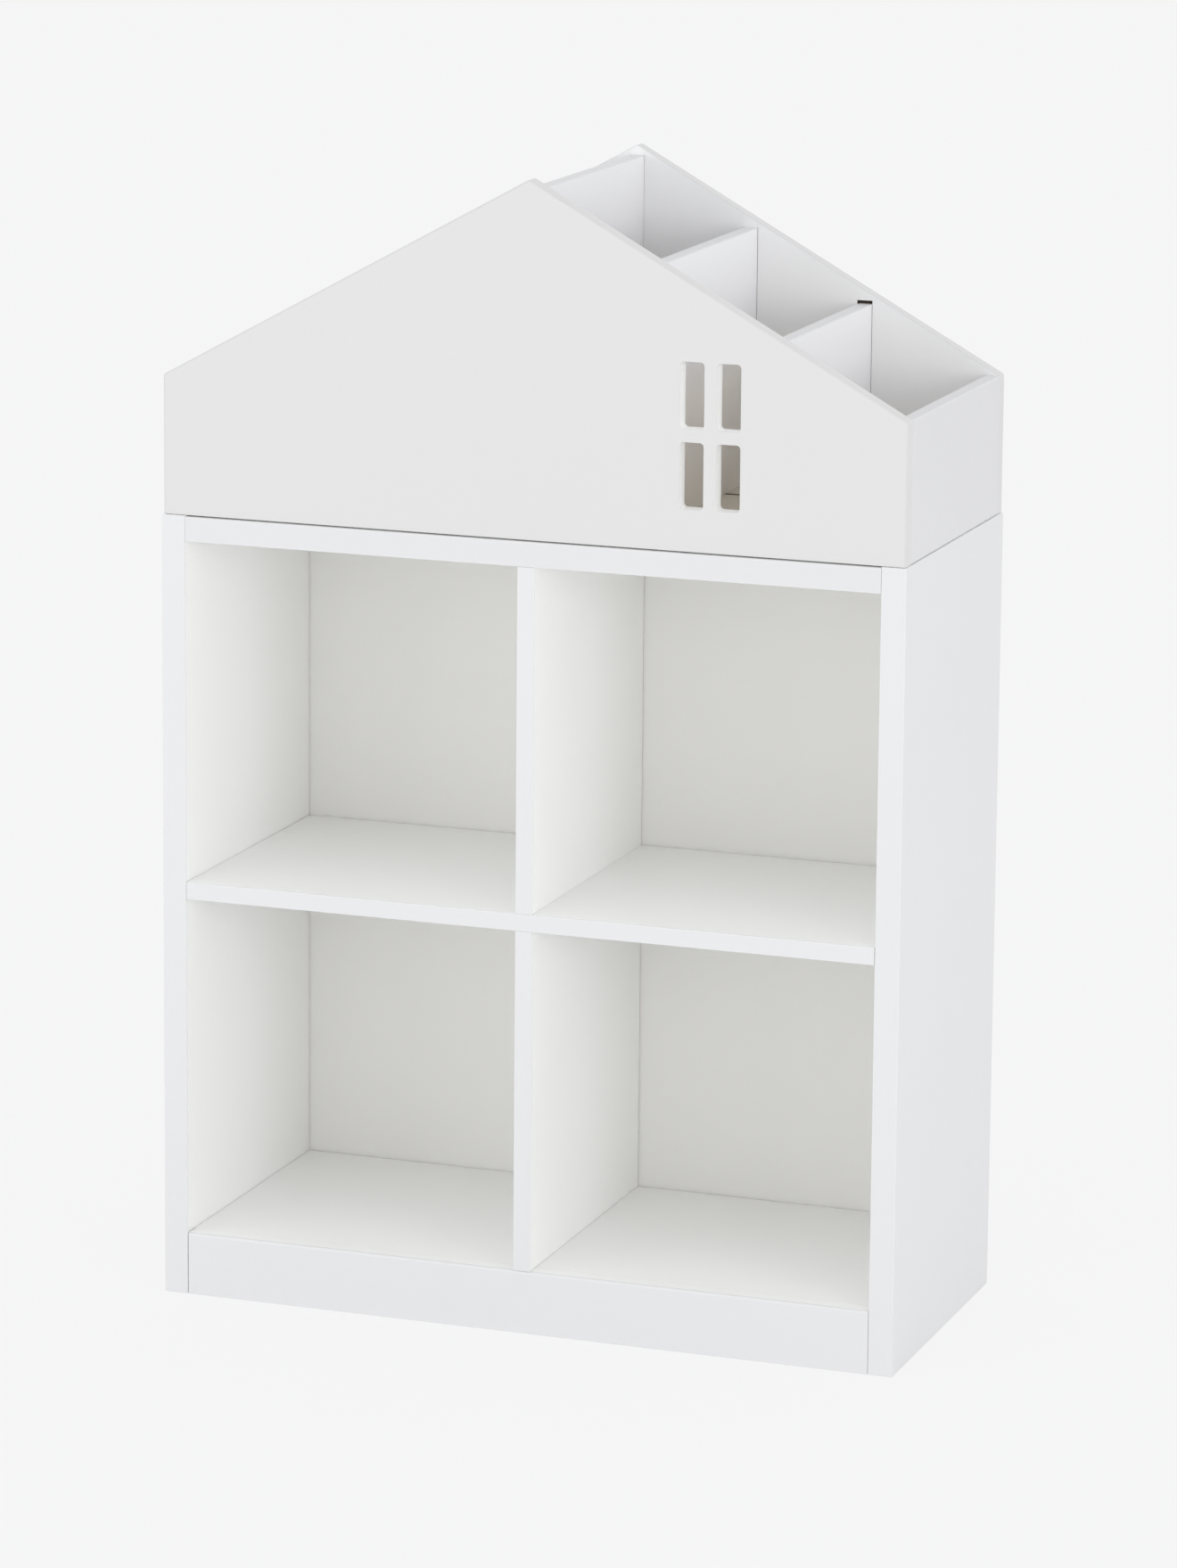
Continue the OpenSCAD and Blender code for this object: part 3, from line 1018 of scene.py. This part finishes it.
    def mesh(self, name: str) -> bpy.types.Mesh:
        """Builds the whole plate.

        Args:
            name: name of the mesh.

        Returns:
            The mesh.
        """
        # The flat of the rim takes the greyer outside paint as painted shade, and the walls of the
        # holes the light reveal paint as painted light.
        rim = self.band(self.rim, self.rings(self.ease, self.back_ease), Layer.OUTSIDE, False)
        self.foot(rim)
        through = self.rings(self.hole_ease, self.hole_ease)
        grids = [rim] + [self.band(hole, through, Layer.REVEAL, True) for hole in self.holes]
        fronts, backs = [grid[0] for grid in grids], [grid[-1] for grid in grids]
        mouths = [self.pocket(loop) for loop in self.pockets]
        (backs if self.pockets_in_back else fronts).extend(mouths)
        self.cap(fronts, -1.0, self.front_layer)
        self.cap(backs, 1.0, self.back_layer)
        mesh = into_mesh(self.shape, name)
        mesh.normals_split_custom_set(self.normals)
        return mesh


@dataclass
class Case:
    """The four-cell case: side panels, boards, dividers, plinth and rear rail.

    Attributes:
        coat: paint of the boards.
        top_coat: paint of the top board, whose front and back are a little greyer than the
        case's as painted shade.
        panel_ease: radius of the side panels' front edges.
        board_ease: radius of the front edges of the shelf and the top board.
        divider_ease: radius of the dividers' front edges.
        plinth_ease: radius of the plinth's top front edge.
        end_ease: radius of the ends of the boards.
        end_joint: how far the ends of the shelf and bottom board, and the lower divider's foot,
            stand back.
        plinth_joints: how far the plinth's left and right ends stand back.
        back_joint: width of the joint between the boards and the back panel.
        seam_fill: paint on the lower divider's top, which nearly fills the seam under the shelf.
        rebate_gap: free space round the back panel in its rebate.
        overrun: how far the cut for the rebate reaches out behind the case.
    """

    coat: Coat
    top_coat: Coat
    panel_ease: float = 0.001
    board_ease: float = 0.0012
    divider_ease: float = 0.0008
    plinth_ease: float = 0.003
    end_ease: float = 0.0002
    end_joint: float = 0.0002
    plinth_joints: Span = (0.0009, 0.0001)
    back_joint: float = 0.0012
    seam_fill: float = 0.00015
    rebate_gap: float = 0.0005
    overrun: float = 0.008

    def rebate(self) -> tuple[Point, Point]:
        """Finds the box of the back panel's rebate, open to the back.

        Returns:
            Its lowest and its highest corner.
        """
        low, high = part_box("back_panel")
        gap = Vector((self.rebate_gap, self.back_joint, self.rebate_gap))
        reach = Vector((0.0, self.overrun, 0.0))
        return tuple(low - gap), tuple(high + gap + reach)

    def build(self) -> list[bpy.types.Object]:
        """Builds every board of the case.

        Returns:
            The finished pieces.
        """

        def front_edges(others: Iterable[Side], radius: float) -> EasedEdges:
            """Eases the edges where the front meets other sides, and just breaks the rest."""
            return EasedEdges(self.end_ease, where_they_meet(Side.FRONT, others, radius))

        panel = front_edges((Side.LEFT, Side.RIGHT), self.panel_ease)
        divider = front_edges((Side.LEFT, Side.RIGHT), self.divider_ease)
        level = front_edges((Side.TOP, Side.BOTTOM), self.board_ease)
        kick = front_edges((Side.TOP,), self.plinth_ease)
        plain = EasedEdges(self.end_ease)
        rebate = [self.rebate()]
        ends = dict.fromkeys((Side.LEFT, Side.RIGHT), self.end_joint)
        kick_ends = dict(zip((Side.LEFT, Side.RIGHT), self.plinth_joints))
        behind = {Side.BACK: self.back_joint}
        upright = {Side.TOP: -self.seam_fill, Side.BOTTOM: self.end_joint}
        all_round = frozenset({Side.FRONT, Side.BACK, Side.LEFT, Side.RIGHT})
        left, right = all_round - {Side.RIGHT}, all_round - {Side.LEFT}
        both = frozenset({Side.FRONT, Side.BACK})
        # Fronts and outer faces take the greyer outside paint as painted shade, the top board's a
        # greyer one still.
        boards = [
            EasedBoard("left_side_panel", self.coat, panel, left, cuts=rebate),
            EasedBoard("right_side_panel", self.coat, panel, right, cuts=rebate),
            EasedBoard("top_board", self.top_coat, level, both, cuts=rebate),
            EasedBoard("middle_shelf", self.coat, level, trims={**ends, **behind}),
            EasedBoard("bottom_board", self.coat, plain, trims={**ends, **behind}),
            EasedBoard("plinth", self.coat, kick, trims=kick_ends),
            EasedBoard("rear_rail", self.coat, plain, both),
            EasedBoard("upper_centre_divider", self.coat, divider, trims=behind),
            EasedBoard("lower_centre_divider", self.coat, divider, trims={**behind, **upright}),
        ]
        return [board.build() for board in boards]


@dataclass
class BackPanel:
    """The thin painted panel that closes the back of the case.

    Attributes:
        coat: paint of the panel.
        ease: radius of its edges.
    """

    coat: Coat
    ease: float = 0.0003

    def build(self) -> list[bpy.types.Object]:
        """Builds the panel, as a list of one piece."""
        edges = EasedEdges(self.ease)
        return [EasedBoard("back_panel", self.coat, edges, frozenset({Side.BACK})).build()]


@dataclass
class HouseBox:
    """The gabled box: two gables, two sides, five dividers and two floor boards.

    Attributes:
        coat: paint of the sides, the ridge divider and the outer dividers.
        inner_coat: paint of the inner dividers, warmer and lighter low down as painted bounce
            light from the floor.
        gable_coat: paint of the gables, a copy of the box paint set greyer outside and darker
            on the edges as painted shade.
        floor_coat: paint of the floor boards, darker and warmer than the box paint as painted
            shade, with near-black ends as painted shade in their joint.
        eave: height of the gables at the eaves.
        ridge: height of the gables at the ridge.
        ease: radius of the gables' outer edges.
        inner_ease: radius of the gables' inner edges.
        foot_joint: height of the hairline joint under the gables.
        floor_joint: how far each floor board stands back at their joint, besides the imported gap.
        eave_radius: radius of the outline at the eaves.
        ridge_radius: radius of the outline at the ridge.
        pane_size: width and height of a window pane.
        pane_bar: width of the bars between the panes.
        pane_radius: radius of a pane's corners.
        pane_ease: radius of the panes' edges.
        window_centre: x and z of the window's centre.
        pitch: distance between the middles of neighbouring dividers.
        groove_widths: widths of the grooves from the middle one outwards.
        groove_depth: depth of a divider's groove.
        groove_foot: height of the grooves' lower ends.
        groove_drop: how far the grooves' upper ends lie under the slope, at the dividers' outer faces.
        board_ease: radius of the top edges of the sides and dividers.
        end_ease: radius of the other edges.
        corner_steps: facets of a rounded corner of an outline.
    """

    coat: Coat
    inner_coat: Coat
    gable_coat: Coat
    floor_coat: Coat
    eave: float = 0.940
    ridge: float = 1.152
    ease: float = 0.002
    inner_ease: float = 0.0005
    foot_joint: float = 0.0006
    floor_joint: float = 0.002
    eave_radius: float = 0.004
    ridge_radius: float = 0.004
    pane_size: Span = (0.024, 0.065)
    pane_bar: float = 0.013
    pane_radius: float = 0.004
    pane_ease: float = 0.0005
    window_centre: Span = (0.186, 0.9135)
    pitch: float = 0.121
    groove_widths: Sequence[float] = (0.0154, 0.0158, 0.0158)
    groove_depth: float = 0.006
    groove_foot: float = 0.819
    groove_drop: float = 0.0065
    board_ease: float = 0.0012
    end_ease: float = 0.0003
    corner_steps: int = 6

    def rim(self, node: str) -> list[RimPoint]:
        """Draws the gable's rim from its right foot over the ridge to its left foot.

        Args:
            node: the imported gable.

        Returns:
            The rim's points.
        """
        low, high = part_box(node)
        foot = low.z + self.foot_joint
        right, left = Vector((1.0, 0.0)), Vector((-1.0, 0.0))
        corners = [
            (high.x, self.eave, self.eave_radius),
            ((low.x + high.x) / 2, self.ridge, self.ridge_radius),
            (low.x, self.eave, self.eave_radius),
            (low.x, foot, 0.0),
            (high.x, foot, 0.0),
        ]
        *upper, left_foot, right_foot = rounded_outline(corners, self.corner_steps)
        return [
            RimPoint(right_foot.place, right, right), *upper, RimPoint(left_foot.place, left, left)
        ]

    def panes(self) -> list[list[RimPoint]]:
        """Draws the window's four panes.

        Returns:
            Each pane's outline, clockwise.
        """
        width, height = self.pane_size
        loops = []
        for i in (-1, 1):
            for j in (-1, 1):
                x = self.window_centre[0] + i * (width + self.pane_bar) / 2
                z = self.window_centre[1] + j * (height + self.pane_bar) / 2
                corners = [(x + s * width / 2, z + t * height / 2, self.pane_radius)
                           for s, t in ((-1, -1), (-1, 1), (1, 1), (1, -1))]
                loops.append(rounded_outline(corners, self.corner_steps))
        return loops

    def grooves(self) -> list[list[Vector]]:
        """Draws the five stopped grooves, the middle one in line with the ridge.

        Returns:
            Each groove's outline as x and z, clockwise.
        """
        loops = []
        half_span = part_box("front_gable")[1].x
        half_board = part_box("ridge_divider")[1].x
        slope = (self.ridge - self.eave) / half_span
        outermost = len(self.groove_widths) - 1
        for n in range(-outermost, outermost + 1):
            width = self.groove_widths[abs(n)]
            head = self.ridge - slope * (abs(n) * self.pitch + half_board) - self.groove_drop
            left, right = (n * self.pitch + s * width / 2 for s in (-1, 1))
            loops.append([
                Vector((left, self.groove_foot)), Vector((left, head)),
                Vector((right, head)), Vector((right, self.groove_foot)),
            ])
        return loops

    def gable(
        self, node: str, holes: Sequence[Sequence[RimPoint]], grooves_in_back: bool
    ) -> bpy.types.Object:
        """Builds one gable.

        Args:
            node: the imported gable.
            holes: outlines of the holes through it.
            grooves_in_back: True for the front gable, whose grooves are at its back.

        Returns:
            The finished piece.
        """
        low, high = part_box(node)
        eases = (self.ease, self.inner_ease)
        layers = (Layer.OUTSIDE, Layer.INSIDE)
        step = 1 if grooves_in_back else -1
        plate = Plate(
            self.rim(node), holes, self.grooves(), low.y, high.y, *eases[::step], self.pane_ease,
            self.groove_depth, grooves_in_back, *layers[::step],
        )
        mesh = plate.mesh(node + "_painted")
        self.gable_coat.dress(mesh)
        piece = new_object(mesh.name, mesh)
        hand_over(piece, [node])
        return piece

    def build(self) -> list[bpy.types.Object]:
        """Builds every board of the box.

        Returns:
            The finished pieces.
        """
        across = (Side.LEFT, Side.RIGHT)
        tops = where_they_meet(Side.TOP, across, self.board_ease)
        crest = EasedEdges(self.end_ease, tops | where_they_meet(Side.FRONT, across, 0.0))
        plain = EasedEdges(self.end_ease)
        # The floor boards' front and back ends take the floor's near-black outside paint, as painted
        # shade in their joint.
        ends = frozenset({Side.FRONT, Side.BACK})
        behind, before = {Side.BACK: self.floor_joint}, {Side.FRONT: self.floor_joint}
        dividers = {
            "ridge_divider": self.coat,
            "left_inner_divider": self.inner_coat, "right_inner_divider": self.inner_coat,
            "left_outer_divider": self.coat, "right_outer_divider": self.coat,
        }
        pieces = [
            self.gable("front_gable", self.panes(), True),
            self.gable("back_gable", (), False),
        ]
        # Tops and outer faces of the sides and dividers take the greyer outside paint, as painted
        # shade.
        boards = [
            EasedBoard("left_box_side", self.coat, crest, frozenset({Side.LEFT, Side.TOP})),
            EasedBoard("right_box_side", self.coat, crest, frozenset({Side.RIGHT, Side.TOP})),
            EasedBoard("front_floor_board", self.floor_coat, plain, ends, behind),
            EasedBoard("rear_floor_board", self.floor_coat, plain, ends, before),
        ]
        boards += [
            EasedBoard(node, coat, crest, frozenset({Side.TOP})) for node, coat in dividers.items()
        ]
        pieces += [board.build() for board in boards]
        return pieces


@dataclass(frozen=True)
class ScrewHeads:
    """Pan-head screws with a cross recess, driven into the back of the case.

    Attributes:
        node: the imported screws, which give their places and their length.
        material: their finish.
        shank_radius: radius of their shanks.
        head_height: height of a head.
        profile: the head's outline from its rim to its crown, as radius and share of its height.
        recess_arm: length of the recess's arms from the middle.
        recess_width: half the width of an arm.
        recess_depth: depth of the recess in the middle.
        turns: facets round a screw.
        rings: rings across the crown.
        cluster: distance under which two points belong to one screw.
    """

    node: str
    material: bpy.types.Material
    shank_radius: float = 0.0015
    head_height: float = 0.002
    profile: Sequence[Span] = ((0.0032, 0.0), (0.0032, 0.25), (0.003, 0.55), (0.0026, 0.8))
    recess_arm: float = 0.0017
    recess_width: float = 0.0004
    recess_depth: float = 0.0012
    turns: int = 48
    rings: int = 14
    cluster: float = 0.01

    def places(self) -> list[tuple[float, float]]:
        """Finds the screws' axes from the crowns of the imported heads.

        Returns:
            Each axis as x and z.
        """
        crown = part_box(self.node)[1].y
        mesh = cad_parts[self.node].data
        groups: list[list[Vector]] = []
        for vertex in mesh.vertices:
            if crown - vertex.co.y < self.head_height / 2:
                near = (g for g in groups if (g[0] - vertex.co).length < self.cluster)
                group = next(near, None)
                if group is None:
                    groups.append([vertex.co.copy()])
                else:
                    group.append(vertex.co.copy())
        return [
            tuple((min(p[axis] for p in group) + max(p[axis] for p in group)) / 2 for axis in (0, 2))
            for group in groups
        ]

    def crown(self, radius: float, angle: float) -> float:
        """Finds the height of the crown, with the cross recess in it.

        Args:
            radius: distance from the screw's axis.
            angle: angle round the axis.

        Returns:
            The share of the head's height.
        """
        edge, low = self.profile[-1]
        dome = low + (1 - low) * (1 - (radius / edge) ** 2)
        across = min(abs(math.sin(angle)), abs(math.cos(angle))) * radius
        if across > self.recess_width or radius > self.recess_arm:
            return dome
        return dome - self.recess_depth / self.head_height * (1 - radius / self.recess_arm)

    def rows(self) -> list[tuple[float, Callable[[float], float]]]:
        """Lists the rings of one screw, from its tip to its crown.

        Returns:
            Each ring's radius and its height over the head's seat at each angle.
        """
        low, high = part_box(self.node)
        tip = self.head_height - (high.y - low.y)
        rows = [(self.shank_radius, lambda _, h=h: h) for h in (tip, 0.0)]
        rows += [(r, lambda _, h=h: h * self.head_height) for r, h in self.profile]
        for k in range(self.rings - 1, 0, -1):
            radius = self.profile[-1][0] * k / self.rings
            rows.append((radius, lambda a, r=radius: self.crown(r, a) * self.head_height))
        return rows

    def build(self) -> bpy.types.Object:
        """Builds all the screws as one piece.

        Returns:
            The finished piece.
        """
        shape = bmesh.new()
        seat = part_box(self.node)[1].y - self.head_height
        angles = [2 * math.pi * i / self.turns for i in range(self.turns)]
        rows = self.rows()
        for turn, (x, z) in enumerate(self.places()):
            rings = [
                [
                    shape.verts.new((
                        x + radius * math.cos(angle + turn), seat + height(angle),
                        z + radius * math.sin(angle + turn),
                    ))
                    for angle in angles
                ]
                for radius, height in rows
            ]
            for near, far in zip(rings, rings[1:]):
                for i in range(self.turns):
                    j = (i + 1) % self.turns
                    shape.faces.new((near[i], near[j], far[j], far[i]))
            shape.faces.new(list(reversed(rings[0])))
            middle = shape.verts.new((x, seat + self.crown(0.0, 0.0) * self.head_height, z))
            for i in range(self.turns):
                shape.faces.new((rings[-1][i], rings[-1][(i + 1) % self.turns], middle))
        bmesh.ops.recalc_face_normals(shape, faces=shape.faces)
        mesh = into_mesh(shape, self.node + "_cross_recess")
        mesh.materials.append(self.material)
        piece = new_object(mesh.name, mesh)
        hand_over(piece, [self.node])
        return piece


@dataclass
class Fittings:
    """The cam fittings, screws and dowels that hold the boards together.

    Attributes:
        steel: finish of the metal fittings.
        beech: finish of the dowels.
        steel_nodes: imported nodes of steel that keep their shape.
        panel_screws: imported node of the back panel's screws.
        beech_nodes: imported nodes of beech.
    """

    steel: bpy.types.Material
    beech: bpy.types.Material
    steel_nodes: Sequence[str] = ("cam_bolts", "cams", "box_divider_screws", "box_fixing_screws")
    panel_screws: str = "back_panel_screws"
    beech_nodes: Sequence[str] = ("case_dowels", "box_dowels")

    def finish(self, nodes: Iterable[str], material: bpy.types.Material) -> None:
        """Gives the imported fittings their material.

        Args:
            nodes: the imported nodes.
            material: their material.
        """
        for name in nodes:
            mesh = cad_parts[name].data
            mesh.materials.clear()
            mesh.materials.append(material)
            LOG.info("%s keeps its packed shape, in %s", name, material.name)

    def build(self) -> None:
        """Builds or dresses all fittings."""
        ScrewHeads(self.panel_screws, self.steel).build()
        self.finish(self.steel_nodes, self.steel)
        self.finish(self.beech_nodes, self.beech)


@dataclass(frozen=True)
class Softbox:
    """One soft studio lamp.

    Attributes:
        name: name of the lamp.
        place: where it stands.
        width: its width and height.
        power: its power in watts.
        aim: the point that it looks at.
        colour: colour of its light.
    """

    name: str
    place: Point
    width: float
    power: float
    aim: Point = (0.0, 0.0, 0.6)
    colour: Colour = (0.985, 1.0, 1.015)

    def build(self) -> bpy.types.Object:
        """Sets up the lamp.

        Returns:
            The lamp.
        """
        data = bpy.data.lights.new(self.name, "AREA")
        data.shape = "RECTANGLE"
        data.size = data.size_y = self.width
        data.energy = self.power
        data.color = self.colour
        lamp = new_object(self.name, data)
        lamp.location = self.place
        lamp.rotation_euler = (Vector(self.aim) - lamp.location).to_track_quat("-Z", "Y").to_euler()
        lamp.visible_camera = False
        return lamp


@dataclass
class Studio:
    """Plain pale studio: floor, backdrop light and soft lamps.

    Attributes:
        backdrop: brightness behind the object, for the rays that see it plainly.
        ambient: brightness of the room.
        ambient_colour: colour of the room's light.
        floor_colour: colour of the floor.
        floor_glow: share of the floor that shows as plain backdrop to those rays.
        floor_half: half the floor's width.
        floor_panels: panels along each side of the floor.
        clouding: share by which the floor's colour varies.
        cloud_scale: its clouds in a metre.
        cloud_detail: finer layers of the clouds.
        floor_drop: how far the floor lies under the feet, so that no two faces coincide.
        lamps: the lamps.
    """

    backdrop: float = 0.92
    ambient: float = 0.98
    ambient_colour: Colour = (0.985, 1.0, 1.015)
    floor_colour: Colour = (0.88, 0.88, 0.88)
    floor_glow: float = 0.92
    floor_half: float = 15.0
    floor_panels: int = 8
    clouding: float = 0.01
    cloud_scale: float = 0.8
    cloud_detail: float = 2.0
    floor_drop: float = 0.0003
    lamps: Sequence[Softbox] = (
        Softbox("front_left_lamp", place=(-2.8, -4.0, 1.2), width=2.0, power=20.5),
        Softbox("front_right_lamp", place=(3.0, -4.0, 1.2), width=2.0, power=12.0),
        Softbox("left_lamp", place=(-3.7, -2.7, 1.3), width=1.6, power=12.0),
        Softbox("right_lamp", place=(3.7, -2.7, 1.3), width=1.6, power=28.5),
    )

    @property
    def plain_colour(self) -> tuple[float, float, float, float]:
        """The backdrop's grey, with its alpha."""
        return (self.backdrop,) * 3 + (1.0,)

    def seen_plainly(self, graph: Graph) -> bpy.types.NodeSocket:
        """Finds the rays that see the plain backdrop.

        Args:
            graph: graph that the nodes go into.

        Returns:
            Socket that is 1 for camera, glossy and transmission rays.
        """
        path = graph.add("LightPath").outputs
        either = graph.math("MAXIMUM", path["Is Camera Ray"], path["Is Glossy Ray"])
        return graph.math("MAXIMUM", either, path["Is Transmission Ray"])

    def world(self) -> None:
        """Lights the room evenly and shows the plain backdrop."""
        world = bpy.data.worlds.new("studio_room")
        bpy.context.scene.world = world
        world.use_nodes = True
        graph = Graph(world.node_tree)
        room = graph.add("Background", Color=(*self.ambient_colour, 1.0), Strength=self.ambient)
        plain = graph.add("Background", Color=self.plain_colour, Strength=1.0)
        graph.add("OutputWorld", Surface=graph.mix_shaders(room, plain, self.seen_plainly(graph)))

    def floor_material(self) -> bpy.types.Material:
        """Builds the floor's material, which shows as backdrop but keeps a soft shadow.

        Returns:
            The material.
        """
        material, graph = new_material("studio_floor")
        place = graph.add("TexCoord").outputs["Object"]
        cloud = graph.noise(place, self.cloud_scale, self.cloud_detail)
        shade = graph.spread(cloud, 1.0 - self.clouding, 1.0 + self.clouding)
        matt = graph.add("BsdfDiffuse", Color=graph.tint(self.floor_colour, shade))
        plain = graph.add("Emission", Color=self.plain_colour, Strength=1.0)
        share = graph.math("MULTIPLY", self.seen_plainly(graph), self.floor_glow)
        graph.add("OutputMaterial", Surface=graph.mix_shaders(matt, plain, share))
        return material

    def floor(self) -> bpy.types.Object:
        """Lays the floor.

        Returns:
            The floor.
        """
        shape = bmesh.new()
        panels = self.floor_panels
        bmesh.ops.create_grid(shape, x_segments=panels, y_segments=panels, size=self.floor_half)
        mesh = into_mesh(shape, "studio_floor")
        mesh.materials.append(self.floor_material())
        piece = new_object("studio_floor", mesh)
        piece.location.z = -self.floor_drop
        return piece

    def build(self) -> None:
        """Sets up the room, the floor and the lamps."""
        self.world()
        self.floor()
        for lamp in self.lamps:
            lamp.build()
            LOG.info("%s at %.0f W", lamp.name, lamp.power)
        bpy.context.scene.view_settings.view_transform = "Standard"


@dataclass(frozen=True)
class StudioCamera:
    """The camera at the photograph's viewing angle.

    Attributes:
        place: where it stands.
        azimuth: how far round to the right it stands, in degrees.
        elevation: how far it looks down, in degrees.
        roll: how far it leans, in degrees.
        focal_pixels: focal length in pixels of the photograph.
        frame_pixels: width and height of the photograph.
        axis_row: row of the photograph that the lens points at.
        sensor: width of the sensor along the long side, in millimetres.
        clip: nearest and farthest distance that is seen.
    """

    place: Point = (2.03905, -5.65441, 1.87843)
    azimuth: float = 19.7831
    elevation: float = 10.7049
    roll: float = 0.4830
    focal_pixels: float = 6891.89
    frame_pixels: Span = (1320.0, 1759.0)
    axis_row: float = 640.0
    sensor: float = 36.0
    clip: Span = (0.1, 100.0)

    def build(self) -> bpy.types.Object:
        """Sets up the camera and makes it the scene's.

        Returns:
            The camera.
        """
        data = bpy.data.cameras.new("studio_camera")
        long_side = max(self.frame_pixels)
        data.sensor_width = self.sensor
        data.lens = self.focal_pixels / long_side * self.sensor
        data.shift_y = (self.axis_row - self.frame_pixels[1] / 2) / long_side
        data.clip_start, data.clip_end = self.clip
        data.dof.use_dof = False
        camera = new_object("studio_camera", data)
        turn = Matrix.Rotation(math.radians(self.azimuth), 4, "Z")
        tilt = Matrix.Rotation(math.pi / 2 - math.radians(self.elevation), 4, "X")
        lean = Matrix.Rotation(math.radians(self.roll), 4, "Z")
        camera.matrix_world = Matrix.Translation(self.place) @ turn @ tilt @ lean
        bpy.context.scene.camera = camera
        return camera


def main() -> None:
    """Builds the bookcase, the studio and the camera, in that order."""
    logging.basicConfig(level=logging.INFO, format="%(name)s: %(message)s")
    # Each paint is one white on the real object; its inside colour is lighter than its outside colour
    # as painted light, and its edge colour gives the edges' painted highlight.
    case_paint = PaintWork(
        "case_paint", Slot.CASE_PAINT,
        inside=(0.97, 0.965, 0.951), edge=(0.735, 0.728, 0.729), outside=(0.722, 0.715, 0.717),
    )
    # The top board's front and back are greyer still, as painted shade.
    top_paint = replace(case_paint, name="top_board_paint", outside=(0.697, 0.689, 0.691))
    box_paint = PaintWork(
        "box_paint", Slot.BOX_PAINT,
        inside=(0.868, 0.86, 0.874), edge=(0.72, 0.715, 0.718), outside=(0.682, 0.673, 0.677),
    )
    # The inner dividers' paint turns warmer and lighter low down, as painted bounce light from the
    # floor.
    inner_paint = replace(
        box_paint, name="inner_divider_paint", inside=(0.872, 0.865, 0.876), foot=(0.985, 0.94, 0.87)
    )
    # The gables have their own copy of the box paint, greyer outside and darker on the edges as
    # painted shade.
    gable_paint = PaintWork(
        "gable_paint", Slot.BOX_PAINT,
        inside=(0.845, 0.841, 0.839), edge=(0.635, 0.626, 0.62), outside=(0.668, 0.657, 0.649),
    )
    # The floor boards are darker and warmer than the box paint as painted shade, and their ends near
    # black as painted shade in their joint.
    floor_paint = PaintWork(
        "floor_paint", Slot.BOX_PAINT,
        inside=(0.64, 0.58, 0.485), edge=(0.52, 0.46, 0.37), outside=(0.16, 0.13, 0.1),
    )
    back_paint = PaintWork(
        "back_panel_paint", Slot.BACK_PANEL_PAINT,
        inside=(0.912, 0.902, 0.872), edge=(0.76, 0.755, 0.74), outside=(0.735, 0.73, 0.715),
        roughness=0.5,
    )
    steel = BrightMetal("zinc_steel", (0.62, 0.62, 0.60))
    beech = BareBeech("beech", light=(0.62, 0.42, 0.25), dark=(0.43, 0.26, 0.14))
    Case(case_paint.coat(), top_paint.coat()).build()
    BackPanel(back_paint.coat()).build()
    HouseBox(box_paint.coat(), inner_paint.coat(), gable_paint.coat(), floor_paint.coat()).build()
    Fittings(steel.material(), beech.material()).build()
    Studio().build()
    StudioCamera().build()


if __name__ == "__main__":
    main()
